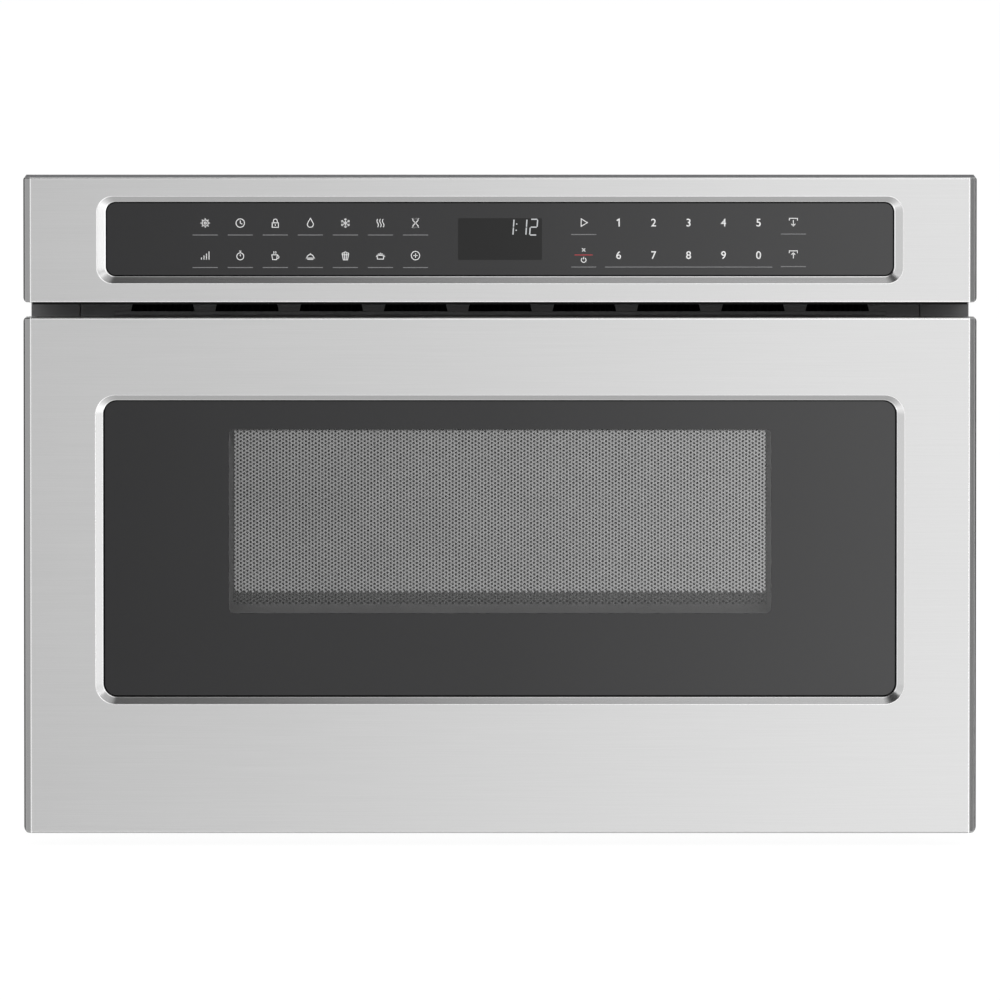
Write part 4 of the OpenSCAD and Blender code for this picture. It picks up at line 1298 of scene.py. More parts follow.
class Sign(Enum):
    """Plain pictograms of the touch fields."""

    SETTINGS = auto()
    CLOCK = auto()
    LOCK = auto()
    DROP = auto()
    FLAKE = auto()
    WAVES = auto()
    HOURGLASS = auto()
    BARS = auto()
    STOPWATCH = auto()
    CUP = auto()
    DISH = auto()
    BUCKET = auto()
    POT = auto()
    PLUS = auto()
    PLAY = auto()
    CROSS = auto()
    POWER = auto()
    OPEN = auto()
    CLOSE = auto()


def spokes(count: int, inner: float, outer: float, turn: float = 0.0) -> list[Stroke]:
    """Strokes that point away from the centre, the first at a turn in degrees."""
    angles = [math.radians(turn + 360 * i / count) for i in range(count)]
    return [[(r * math.cos(a), r * math.sin(a)) for r in (inner, outer)] for a in angles]


def barb(angle: float) -> Stroke:
    """The pair of barbs on one arm of a snow flake.

    Args:
        angle: direction of the arm in radians.

    Returns:
        The stroke from tip to tip over the arm.
    """
    x, z = math.cos(angle), math.sin(angle)
    tips = [(0.62 * x + 0.3 * math.cos(angle + s), 0.62 * z + 0.3 * math.sin(angle + s)) for s in (0.9, -0.9)]
    return [tips[0], (0.58 * x, 0.58 * z), tips[1]]


def loop(*points: Point2) -> Stroke:
    """A closed stroke through the points."""
    return [*points, points[0]]


TRAY: Stroke = [(-0.8, 0.3), (-0.8, 0.75), (0.8, 0.75), (0.8, 0.3)]
SIGN_STROKES: dict[Sign, list[Stroke]] = {
    Sign.SETTINGS: [arc_points(0, 0, 0.6), arc_points(0, 0, 0.22, steps=10), *spokes(8, 0.6, 0.95)],
    Sign.CLOCK: [arc_points(0, 0, 0.85), [(0, 0.5), (0, 0), (0.38, -0.2)]],
    Sign.LOCK: [loop((-0.62, -0.85), (0.62, -0.85), (0.62, 0.05), (-0.62, 0.05)),
                [(-0.38, 0.05), *arc_points(0, 0.42, 0.38, 180, 0), (0.38, 0.05)], [(0, -0.25), (0, -0.55)]],
    Sign.DROP: [loop((0, 0.95), *arc_points(0, -0.25, 0.6, 20, -200))],
    Sign.FLAKE: [*spokes(6, 0.0, 0.95, 30), *(barb(math.radians(60 * i + 30)) for i in range(6))],
    Sign.WAVES: [[(x + 0.16 * math.sin(t * math.pi / 4), -0.8 + 0.2 * t) for t in range(9)]
                 for x in (-0.55, 0.0, 0.55)],
    Sign.HOURGLASS: [loop((-0.5, 0.85), (-0.5, 0.5), (0.5, -0.5), (0.5, -0.85), (-0.5, -0.85), (-0.5, -0.5),
                          (0.5, 0.5), (0.5, 0.85)), *([(-0.7, z), (0.7, z)] for z in (0.87, -0.87))],
    Sign.BARS: [[(-0.75 + 0.5 * i, -0.8), (-0.75 + 0.5 * i, -0.4 + 0.4 * i)] for i in range(4)],
    Sign.STOPWATCH: [arc_points(0, -0.15, 0.7), [(0, 0.25), (0, -0.15)], [(-0.22, 0.9), (0.22, 0.9)],
                     [(0, 0.9), (0, 0.55)]],
    Sign.CUP: [loop((-0.7, 0.15), (-0.55, -0.8), (0.25, -0.8), (0.4, 0.15)),
               arc_points(0.42, -0.28, 0.3, 80, -100, 10), [(-0.35, 0.4), (-0.25, 0.6), (-0.35, 0.85)],
               [(0.05, 0.4), (0.15, 0.6), (0.05, 0.85)]],
    Sign.DISH: [[(-0.9, -0.5), (0.9, -0.5)], [(-0.7, -0.5), *arc_points(0, -0.5, 0.7, 180, 0), (0.7, -0.5)],
                [(-0.1, 0.4), (0.1, 0.4)], [(-0.6, -0.75), (0.6, -0.75)]],
    Sign.BUCKET: [loop((-0.6, 0.15), (-0.42, -0.85), (0.42, -0.85), (0.6, 0.15)),
                  [(-0.2, 0.15), (-0.14, -0.85)], [(0.2, 0.15), (0.14, -0.85)],
                  *(arc_points(x, z, 0.24, -20, 200, 10)
                    for x, z in ((-0.42, 0.3), (0.0, 0.5), (0.42, 0.3)))],
    Sign.POT: [[(-0.6, 0.05), (-0.6, -0.7), (0.6, -0.7), (0.6, 0.05)], [(-0.78, 0.05), (0.78, 0.05)],
               [(-0.5, 0.3), (0.5, 0.3)], [(0, 0.3), (0, 0.55)], [(-0.6, -0.2), (-0.9, -0.2)],
               [(0.6, -0.2), (0.9, -0.2)]],
    Sign.PLUS: [arc_points(0, 0, 0.85), [(-0.42, 0), (0.42, 0)], [(0, -0.42), (0, 0.42)]],
    Sign.PLAY: [loop((-0.5, 0.75), (0.75, 0.0), (-0.5, -0.75))],
    Sign.CROSS: [[(-0.6, -0.6), (0.6, 0.6)], [(-0.6, 0.6), (0.6, -0.6)]],
    Sign.POWER: [arc_points(0, -0.1, 0.72, 125, 415), [(0, 0.85), (0, 0.05)]],
    Sign.OPEN: [TRAY, [(0, 0.4), (0, -0.75)], [(-0.4, -0.35), (0, -0.78), (0.4, -0.35)]],
    Sign.CLOSE: [TRAY, [(0, 0.4), (0, -0.75)], [(-0.4, -0.02), (0, 0.4), (0.4, -0.02)]],
}


@dataclass
class Legends:
    """The prints on the control glass: pictograms, numbers and the lines under them.

    Heights are measured from the glass's centre. stop_signs holds (pictogram, rise, half size).
    """

    glass: Box
    rows: Point2 = (11.0 * MM, -9.7 * MM)
    underline_drop: float = 7.6 * MM
    underline: float = 16 * MM
    underline_width: float = 0.55 * MM
    first_sign_x: float = -187.4 * MM
    sign_drop: float = 0.8 * MM
    digit_drop: float = 0.5 * MM
    arrow_drop: float = 0.2 * MM
    sign_pitch: float = 22.28 * MM
    start_x: float = 53.2 * MM
    open_x: float = 186.5 * MM
    first_digit_x: float = 75.4 * MM
    digit_pitch: float = 22.25 * MM
    digit_height: float = 5.1 * MM
    figure_share: float = 0.73
    figure_swell: float = 0.06 * MM
    digit_line: float = 106.5 * MM
    red_line: float = 11.5 * MM
    red_rise: float = 0.1 * MM
    sign_half: float = 3.2 * MM
    stroke: float = 0.5 * MM
    bold_stroke: float = 0.78 * MM
    print_depth: float = 0.05 * MM
    left_signs: tuple[tuple[Sign, ...], tuple[Sign, ...]] = (
        (Sign.SETTINGS, Sign.CLOCK, Sign.LOCK, Sign.DROP, Sign.FLAKE, Sign.WAVES, Sign.HOURGLASS),
        (Sign.BARS, Sign.STOPWATCH, Sign.CUP, Sign.DISH, Sign.BUCKET, Sign.POT, Sign.PLUS),
    )
    stop_signs: tuple[tuple[Sign, float, float], ...] = (
        (Sign.CROSS, 3.3 * MM, 1.68 * MM), (Sign.POWER, -2.9 * MM, 2.1 * MM),
    )
    digits: tuple[str, str] = ("12345", "67890")
    one: tuple[Point2, ...] = ((-0.44, 0.5), (0.14, 0.86), (0.14, -1.0))

    def build(self) -> None:
        """Makes all the prints."""
        signs, lines, red = Mould("legend_signs"), Mould("legend_underlines"), Mould("clear_off_line")
        top, bottom = (row - self.digit_drop for row in self.rows)
        keys = [(self.first_sign_x + i * self.sign_pitch, row - self.sign_drop, sign)
                for row, names in zip(self.rows, self.left_signs) for i, sign in enumerate(names)]
        keys += [(self.start_x, top, Sign.PLAY), (self.start_x, bottom, None)]
        keys += [(self.open_x, row - self.arrow_drop, sign)
                 for row, sign in zip(self.rows, (Sign.OPEN, Sign.CLOSE))]
        for x, row, single in keys:
            marks = ((single, 0.0, self.sign_half),) if single else self.stop_signs
            for sign, rise, half in marks:
                for stroke in SIGN_STROKES[sign]:
                    self._print(signs, stroke, half, self.stroke, (x, row + rise))
            self._line(lines, self.underline, (x, row - self.underline_drop))
        middle_x = self.first_digit_x + 2 * self.digit_pitch
        self._line(lines, self.digit_line, (middle_x, bottom - self.underline_drop))
        self._line(red, self.red_line, (self.start_x, bottom + self.red_rise))
        for mould, ink in ((signs, WHITE_INK), (lines, GREY_INK), (red, RED_INK)):
            mould.build((ink,))
        for row, text in zip((top, bottom), self.digits):
            for i, digit in enumerate(text):
                self._digit(digit, (self.first_digit_x + i * self.digit_pitch, row))

    def _print(self, mould: Mould, path: Iterable[Point2], size: float, width: float, at: Point2) -> None:
        """Adds one stroke.

        Args:
            mould: the piece.
            path: the stroke's path.
            size: what the path is multiplied by.
            width: width of the stroke.
            at: (x, height) of the path's centre.
        """
        scaled = [(x * size, z * size) for x, z in path]
        centre = (at[0], self.glass.mid.z + at[1])
        mould.ribbon(scaled, width, centre, self.glass.lo.y - self.print_depth, self.print_depth)

    def _line(self, mould: Mould, length: float, at: Point2) -> None:
        """Adds a level line of a length around a point."""
        self._print(mould, ((-0.5, 0), (0.5, 0)), length, self.underline_width, at)

    def _digit(self, digit: str, at: Point2) -> None:
        """Makes one number: the one from strokes, the others as thin meshes from the built-in font.

        Args:
            digit: the number.
            at: (x, height) of its centre.
        """
        if digit == "1":
            mould = Mould("digit_1")
            self._print(mould, self.one, self.digit_height / 2, self.bold_stroke, at)
            mould.build((WHITE_INK,))
            return
        curve = bpy.data.curves.new(f"digit_{digit}", "FONT")
        curve.body = digit
        curve.align_x = curve.align_y = "CENTER"
        curve.size = self.digit_height / self.figure_share
        curve.offset = self.figure_swell
        curve.extrude = self.print_depth / 2
        curve.resolution_u = 6
        text = bpy.data.objects.new("digit_source", curve)
        mesh = bpy.data.meshes.new_from_object(text)
        bpy.data.objects.remove(text)
        points = [v.co.copy() for v in mesh.vertices]
        mid = (max(p.y for p in points) + min(p.y for p in points)) / 2
        y, z = self.glass.lo.y - self.print_depth / 2, self.glass.mid.z + at[1] - mid
        for vertex, p in zip(mesh.vertices, points):
            vertex.co = (at[0] + p.x, y - p.z, z + p.y)
        mesh.materials.clear()
        mesh.materials.append(WHITE_INK.material())
        made = bpy.data.objects.new(f"digit_{digit}", mesh)
        bpy.context.scene.collection.objects.link(made)
        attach(made, Body.CABINET.value)
        log.info("digit_%s", digit)


@dataclass
class ClockDisplay:
    """The display behind the control glass, with slanted seven-segment figures."""

    module: Box
    glass: Box
    time: str = "1:12"
    height: float = 10 * MM
    width: float = 4.4 * MM
    pitch: float = 6.8 * MM
    stroke: float = 0.75 * MM
    colon_back: float = 0.39
    colon_pitch: float = 0.6
    slant: float = 0.07
    right_end: float = 23.6 * MM
    row: float = 7.6 * MM
    depth: float = 0.03 * MM
    film_corner: float = 0.6 * MM
    dot_rise: float = 0.2
    bar_inset: float = 0.35

    # Bars of each mark as (from, to), in halves of the figure's width and height.
    BARS = {
        "1": (((1, 1), (1, 0)), ((1, 0), (1, -1))),
        "2": (((-1, 1), (1, 1)), ((1, 1), (1, 0)), ((-1, -1), (1, -1)), ((-1, -1), (-1, 0)),
              ((-1, 0), (1, 0))),
    }

    def build(self) -> None:
        """Makes the film and the lit figures."""
        film, figures = Mould("display_film"), Mould("clock_figures")
        size, front = self.module.size, self.glass.lo.y - self.depth
        outline = rounded_outline(size.x, size.z, self.film_corner, 3)
        centre = (self.module.mid.x, self.module.mid.z)
        film.loft(standing_ring(outline, centre, y) for y in (front, self.glass.lo.y))
        film.build((DISPLAY_FILM,), slot=Slot.BLACK_GLASS)
        x = self.right_end - self.width / 2
        for mark in reversed(self.time):
            if mark == ":":
                x += self.pitch * self.colon_back
                self._colon(figures, x)
                x -= self.pitch * self.colon_pitch
            else:
                self._figure(figures, mark, x)
                x -= self.pitch
        figures.build((CLOCK_LIGHT,))

    def _figure(self, mould: Mould, mark: str, x: float) -> None:
        """Adds one figure.

        Args:
            mould: the piece.
            mark: the figure.
            x: its centre.
        """
        half = Vector((self.width / 2, self.height / 2))
        for bar in self.BARS[mark]:
            start, end = (half * Vector(p) for p in bar)
            inset = (end - start).normalized() * (self.stroke * self.bar_inset)
            self._bar(mould, (start + inset, end - inset), x)

    def _colon(self, mould: Mould, x: float) -> None:
        """Adds the two dots between hours and minutes."""
        for z in (self.height * self.dot_rise, -self.height * self.dot_rise):
            self._bar(mould, ((0, z - self.stroke / 2), (0, z + self.stroke / 2)), x)

    def _bar(self, mould: Mould, ends: Iterable[Point2], x: float) -> None:
        """Adds one lit bar, moved by the slant, to the figure at x."""
        path, centre = [(px + z * self.slant, z) for px, z in ends], (x, self.glass.mid.z + self.row)
        mould.ribbon(path, self.stroke, centre, self.glass.lo.y - 2 * self.depth, self.depth)


# ---------------------------------------------------------------- control panel


@dataclass
class ControlPanel:
    """Folded front, black glass, legends and display above the drawer."""

    corner: float = 5.5 * MM
    outer_corner: float = 9.5 * MM
    bevel_depth: float = 3.7 * MM
    bevel_widths: Point3 = (5.6 * MM, 3.7 * MM, 4.4 * MM)
    glass_edge: float = 0.5 * MM
    return_depth: float = 40 * MM
    bottom_return: float = 14 * MM

    def build(self) -> None:
        """Makes the panel's pieces."""
        glass, black = Box.of("control_glass"), Slot.BLACK_GLASS
        recess = Recess(glass, self.corner, self.outer_corner, self.bevel_depth, *self.bevel_widths)
        # Its top return is dark grey: painted shade.
        FoldedFront("control_panel_front", "control_bezel", Body.CABINET, recess, self.return_depth,
                    self.bottom_return, PAINTED_SHADE_TOP).build()
        mould = Mould("control_panel_glass")
        mould.plate(glass, self.corner, self.glass_edge)
        mould.build((SLOT_FINISH[black],), slot=black, stands_for="control_glass")
        Legends(glass).build()
        ClockDisplay(Box.of("display_module"), glass).build()


# ---------------------------------------------------------------- casing, vents and gap


@dataclass
class CasingBeads:
    """Stiffening beads pressed into the casing's sheets."""

    width: float = 9 * MM
    height: float = 1.3 * MM
    across: int = 8
    turns: tuple[float, ...] = (12.0, 35.0, 60.0, 90.0)
    top_y: tuple[float, ...] = (110 * MM, 265 * MM, 420 * MM)
    top_half: float = 205 * MM
    side_y: tuple[float, ...] = (95 * MM, 215 * MM, 335 * MM)
    side_z: Point2 = (60 * MM, 310 * MM)
    back_z: tuple[float, ...] = (75 * MM, 295 * MM)
    back_half: float = 165 * MM

    def build(self) -> None:
        """Makes the beads of the top, the sides and the back."""
        top, back = Box.of("top_plate").hi, Box.of("back_plate").hi.y
        low, high = self.side_z
        sheets = {
            "top": [((-self.top_half, y, top.z), (self.top_half, y, top.z), (0, 0, 1)) for y in self.top_y],
            "side": [((s * top.x, y, low), (s * top.x, y, high), (s, 0, 0))
                     for s in (-1, 1) for y in self.side_y],
            "back": [((-self.back_half, back, z), (self.back_half, back, z), (0, 1, 0)) for z in self.back_z],
        }
        for sheet, beads in sheets.items():
            mould = Mould(f"casing_{sheet}_beads")
            for bead in beads:
                self._bead(mould, *map(Vector, bead))
            zinc = Slot.GALVANISED
            mould.build((SLOT_FINISH[zinc],), slot=zinc, smooth=60.0, weighted=False)

    def _bead(self, mould: Mould, start: Vector, end: Vector, out: Vector) -> None:
        """Adds one bead with round ends.

        Args:
            mould: the piece.
            start: one end, on the sheet.
            end: the other end.
            out: direction away from the sheet.
        """
        along = (end - start).normalized()
        across = out.cross(along) * (self.width / 2)
        shape = [(self.width / 2 * (1 - math.cos(a)), math.sin(a)) for a in map(math.radians, self.turns)]
        stations = [(start + along * d, k) for d, k in shape]
        stations += [(end - along * d, k) for d, k in reversed(shape)]
        bulge = [(t, (1 - t * t) ** 1.5) for t in (2 * i / self.across - 1 for i in range(self.across + 1))]
        mould.loft([spot + across * share * t + out * (self.height * share * rise) for t, rise in bulge]
                   for spot, share in stations)


@dataclass
class VentShadeStrip:
    """Pleated near-black strip on the back of the front plate, behind the slots of the louvre: painted shade
    in the slots.
    """

    half: float = 243 * MM
    overlap: float = 1.5 * MM
    opening: Point2 = (305 * MM, 317 * MM)
    pleat: float = 4.5 * MM
    pleat_depth: float = 5 * MM
    thickness: float = 1.2 * MM
    steps: int = 6

    def build(self) -> None:
        """Makes the strip."""
        front = Box.of("front_plate").hi.y
        low, high = self.opening[0] - self.overlap, self.opening[1] + self.overlap
        count = round(2 * self.half / self.pleat) * self.steps
        rings = []
        for i in range(count + 1):
            x = -self.half + 2 * self.half * i / count
            y = front + self.pleat_depth * (1 - math.cos(2 * math.pi * i / self.steps)) / 2
            back = y + self.thickness
            rings.append([(x, y, low), (x, y, high), (x, back, high), (x, back, low)])
        mould = Mould("vent_shade_strip")
        mould.loft(rings)
        mould.build((NEAR_BLACK_SHADE,), smooth=50.0)


@dataclass
class GapTrim:
    """Rolled lip under the slots of the louvre, and a near-black strip under the panel: painted shadow of the
    panel.

    lip_profile holds (y, z) in millimetres from the louvre's lower front edge.
    """

    lip_half: float = 246 * MM
    lip_profile: tuple[Point2, ...] = (
        (0.0, 4.3), (-1.4, 4.7), (-2.0, 5.3), (-2.2, 6.2), (-2.1, 7.2), (-1.7, 7.7), (-1.2, 7.5), (-1.3, 6.4),
        (0.0, 5.4),
    )
    shadow_half: float = 297 * MM
    shadow_drop: float = 1.3 * MM
    shadow_chamfer: float = 0.4 * MM
    shadow_y: Point2 = (2 * MM, 9 * MM)

    def build(self) -> None:
        """Makes the lip and the painted shadow strip."""
        louvre, panel, chamfer = Box.of("vent_louvre"), Box.of("control_bezel"), self.shadow_chamfer
        lip = [(louvre.lo.y + y * MM, louvre.lo.z + z * MM) for y, z in self.lip_profile]
        near, far = (panel.lo.y + y for y in self.shadow_y)
        high, low = panel.lo.z, panel.lo.z - self.shadow_drop
        shadow_outline = [(near, high), (near, low + chamfer), (near + chamfer, low), (far - chamfer, low),
                (far, low + chamfer), (far, high)]
        # The second strip is painted shadow under the panel.
        strips = (("louvre_lip", lip, self.lip_half, SLOT_FINISH[Slot.DARK_SHEET]),
                  ("panel_shadow_strip", shadow_outline, self.shadow_half, NEAR_BLACK_SHADE))
        for name, profile, half, finish in strips:
            mould = Mould(name)
            mould.loft([(x, y, z) for y, z in profile] for x in (-half, half))
            mould.build((finish,), smooth=40.0, weighted=False)


# ---------------------------------------------------------------- drawer front


Rims = list[list[list[int]]]


@dataclass
class PerforatedScreen:
    """Steel sheet with thousands of small holes in staggered columns, painted dark around them.

    The dark paint also covers the lowest rows, where it is painted shade.
    """

    sheet: Box
    top: float
    columns: int = 164
    rows: int = 47
    painted_shade_rows: int = 3
    column_pitch: float = 2.078 * MM
    row_pitch: float = 2.43 * MM
    hole: float = 0.84 * MM
    sides: int = 6

    def build(self) -> None:
        """Makes the screen."""
        mould = Mould("perforated_screen")
        depths = (self.sheet.lo.y, self.sheet.hi.y)
        layers = [[[self._hole(mould, c, r, y) for r in range(self.rows)] for c in range(self.columns)]
                  for y in depths]
        for layer in layers:
            self._webs(mould, layer)
        for columns in zip(*layers):
            for rims in zip(*columns):
                mould.bridge(*rims)
        mould.bridge(*[self._border(mould, layer, y) for layer, y in zip(layers, depths)])
        finishes = (SLOT_FINISH[Slot.PERFORATED_STEEL], SCREEN_MASK_AND_SHADE)
        mould.build(finishes, Body.DRAWER, Slot.PERFORATED_STEEL, "mesh_screen", weighted=False)

    def _hole(self, mould: Mould, column: int, row: int, y: float) -> list[int]:
        """Adds the rim of one hole, with the columns staggered by half a pitch.

        Args:
            mould: the piece.
            column: the hole's column.
            row: the hole's row.
            y: depth of the layer.

        Returns:
            The rim's point numbers.
        """
        x = (column - (self.columns - 1) / 2) * self.column_pitch
        z = self.top - (row + 0.5 * (column % 2)) * self.row_pitch
        turns = [2 * math.pi * (k + 0.5) / self.sides for k in range(self.sides)]
        return mould.ring((x + self.hole * math.cos(a), y, z + self.hole * math.sin(a)) for a in turns)

    def _webs(self, mould: Mould, layer: Rims) -> None:
        """Fills the sheet between neighbouring holes.

        Args:
            mould: the piece.
            layer: rims by column and row.
        """
        for c, column in enumerate(layer):
            for r, rim in enumerate(column):
                above = column[r - 1] if r else None
                upper, lower = (self._at(layer, c + 1, r + c % 2 - up) for up in (1, 0))
                # The lowest rows take the dark screen paint, which there is painted shade.
                kind = 1 if r >= self.rows - self.painted_shade_rows else 0
                if above and upper:
                    mould.face((rim[1], rim[0], upper[3], upper[2], above[5], above[4]), kind)
                if upper and lower:
                    mould.face((rim[0], rim[5], lower[2], lower[1], upper[4], upper[3]), kind)

    def _at(self, layer: Rims, column: int, row: int) -> list[int] | None:
        """The rim in a column and row, or None outside the field of holes."""
        inside = 0 <= column < self.columns and 0 <= row < self.rows
        return layer[column][row] if inside else None

    def _field_edge(self, layer: Rims) -> list[int]:
        """Point numbers around the field of holes, counter-clockwise seen from the front.

        Args:
            layer: rims by column and row.

        Returns:
            The numbers.
        """
        edge: list[int] = []
        for c, column in enumerate(layer):
            edge += [column[-1][k] for k in ((2, 3, 4, 5, 0) if c % 2 else (3, 4, 5))]
        for rim in reversed(layer[-1]):
            edge += [rim[k] for k in (4, 5, 0, 1)]
        for c, column in reversed(list(enumerate(layer))):
            edge += [column[0][k] for k in ((0, 1, 2) if c % 2 else (5, 0, 1, 2, 3))]
        for rim in layer[0]:
            edge += [rim[k] for k in (1, 2, 3, 4)]
        return list(dict.fromkeys(edge))

    def _border(self, mould: Mould, layer: Rims, y: float) -> list[int]:
        """Fills the plain border around the field of holes.

        Args:
            mould: the piece.
            layer: rims by column and row.
            y: depth of the layer.

        Returns:
            Point numbers of the sheet's corners.
        """
        lo, hi = self.sheet.lo, self.sheet.hi
        corners = mould.ring(((lo.x, y, lo.z), (hi.x, y, lo.z), (hi.x, y, hi.z), (lo.x, y, hi.z)))
        edge = self._field_edge(layer)
        flat = {n: Vector((mould.points[n][0], mould.points[n][2], 0.0)) for n in corners + edge}
        for triangle in tessellate_polygon([[flat[n] for n in part] for part in (corners, edge)]):
            mould.face([(corners + edge)[k] for k in triangle], 1)
        return corners


@dataclass
class WindowGlass:
    """Glass printed black on its back around a clear window, with a thin grey line along it."""

    glass: Box
    corner: float
    edge: float = 0.55 * MM
    window_half: float = 171.7 * MM
    window_z: Point2 = (119.9 * MM, 235.5 * MM)
    window_corner: float = 2.6 * MM
    line: float = 0.85 * MM
    line_gap: float = 0.02 * MM
    print_depth: float = 0.06 * MM

    def build(self) -> None:
        """Makes the glass and its line."""
        low, high = self.window_z
        centre = (0.0, (low + high) / 2)
        inner, outer = (rounded_outline(2 * (self.window_half + grown), high - low + 2 * grown,
                                        self.window_corner + grown) for grown in (0.0, self.line))
        pane, line = Mould("window_glass_pane"), Mould("window_line")
        rise = centre[1] - self.glass.mid.z
        pane.plate(self.glass, self.corner, self.edge, [(x, z + rise) for x, z in outer])
        black = Slot.BLACK_GLASS
        pane.build((SLOT_FINISH[black], TINTED_GLASS), Body.DRAWER, black, "window_glass")
        y = self.glass.hi.y + self.line_gap
        line.frame(standing_ring(outer, centre, y), standing_ring(inner, centre, y), self.print_depth)
        line.build((LINE_INK,), Body.DRAWER)


@dataclass
class Tub:
    """The enamelled drawer: a deep-drawn tub with a rolled rim, behind a wall with the window's opening."""

    tub: Box
    wall: float = 2 * MM
    front_x: float = 226 * MM
    side_x: float = 221 * MM
    low: float = 83 * MM
    rim: float = 258 * MM
    front_wall: float = 2 * MM
    corner: float = 24 * MM
    bottom: float = 3.2 * MM
    inner_bottom: float = 2.2 * MM
    lip: float = 2.4 * MM
    lip_start: float = 0.2
    lip_bulge: float = 0.5
    lip_drops: Point2 = (2.0, 2.2)
    lip_turns: tuple[float, ...] = (180, 135, 90, 45, 0, -45)
    view_half: float = 176.2 * MM
    view_z: Point2 = (113 * MM, 239 * MM)
    view_corner: float = 6 * MM
    front_corner: float = 10 * MM

    def _path(self, inset: float, z: float) -> list[Point3]:
        """The tub's wall in plan at one height, from the front left to the front right.

        Args:
            inset: how far the path lies inside the outer wall.
            z: height.

        Returns:
            The path's points.
        """
        front, back = self.tub.lo.y + self.front_wall, self.tub.hi.y - inset
        x, radius = self.side_x - inset, self.corner - inset
        right = arc_points(x - radius, back - radius, radius, 90, 0, 10)
        left = [(-px, py) for px, py in reversed(right)]
        return [(px, py, z) for px, py in [(-x, front), *left, *right, (x, front)]]

    def _profile(self) -> list[Point2]:
        """Section of the wall as (inset, height), from the outer bottom over the rim to the floor.

        Returns:
            The section's points.
        """
        t, lip, low, rim = self.wall, self.lip, self.low, self.rim
        corner = [(1 - math.sin(a), 1 - math.cos(a)) for a in map(math.radians, (0, 30, 60, 90))]
        profile = [(self.bottom * x, low + self.bottom * z) for x, z in corner]
        profile.append((0.0, rim - self.lip_drops[0] * lip))
        for a in map(math.radians, self.lip_turns):
            out = t * self.lip_start - lip * self.lip_bulge * (1 - math.cos(a))
            profile.append((out, rim - lip * (1 - math.sin(a))))
        profile.append((t, rim - self.lip_drops[1] * lip))
        inner = self.inner_bottom
        return profile + [(t + inner * x, low + t + inner * z) for x, z in reversed(corner)]

    def build(self) -> None:
        """Makes the tub."""
        mould = Mould("enamelled_tub")
        rings = [mould.ring(self._path(inset, z)) for inset, z in self._profile()]
        for a, b in zip(rings, rings[1:]):
            mould.bridge(a, b, closed=False)
        mould.face(rings[0][::-1])
        mould.face(rings[-1])
        mould.face([ring[0] for ring in rings] + [ring[-1] for ring in reversed(rings)])
        self._front(mould)
        mould.build((SLOT_FINISH[Slot.GREY_ENAMEL],), Body.DRAWER, Slot.GREY_ENAMEL, "drawer_tub")

    def _front(self, mould: Mould) -> None:
        """Adds the front wall with its opening.

        Args:
            mould: the piece.
        """
        lo, hi = self.tub.lo, self.tub.hi
        low, high = self.view_z
        outer = rounded_outline(2 * self.front_x, hi.z - lo.z, self.front_corner)
        inner = rounded_outline(2 * self.view_half, high - low, self.view_corner)
        mould.frame(standing_ring(outer, (0.0, (lo.z + hi.z) / 2), lo.y),
                    standing_ring(inner, (0.0, (low + high) / 2), lo.y), self.front_wall)


@dataclass
class DrawerFront:
    """Folded front, window glass, screen and tub of the drawer.

    glass_rise is how much higher the glass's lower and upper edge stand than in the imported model.
    """

    corner: float = 8 * MM
    outer_corner: float = 12 * MM
    bevel_depth: float = 5 * MM
    bevel_widths: Point3 = (4.9 * MM, 3.2 * MM, 4.5 * MM)
    bevel_step: float = 1.4 * MM
    top_lift: float = 1.0 * MM
    glass_rise: Point2 = (2.0 * MM, 1.3 * MM)
    top_return: float = 14 * MM
    bottom_return: float = 20 * MM
    notch: float = 97 * MM
    low_corner: float = 3.0 * MM
    high_corner: float = 1.2 * MM
    fold: float = 1.3 * MM
    holes_top: float = 237.4 * MM

    def build(self) -> None:
        """Makes the drawer's pieces."""
        glass = Box.of("window_glass")
        low, high = (Vector((0.0, 0.0, rise)) for rise in self.glass_rise)
        glass = Box(glass.lo + low, glass.hi + high)
        recess = Recess(glass, self.corner, self.outer_corner, self.bevel_depth, *self.bevel_widths,
                        step=self.bevel_step, top_lift=self.top_lift)
        FoldedFront("drawer_front", "drawer_front_skin", Body.DRAWER, recess, self.top_return,
                    self.bottom_return, SLOT_FINISH[Slot.STAINLESS], self.notch, self.low_corner,
                    self.high_corner, painted_highlight_bottom=False, fold=self.fold).build()
        WindowGlass(glass, self.corner).build()
        PerforatedScreen(Box.of("mesh_screen"), self.holes_top).build()
        Tub(Box.of("drawer_tub")).build()


# ---------------------------------------------------------------- studio


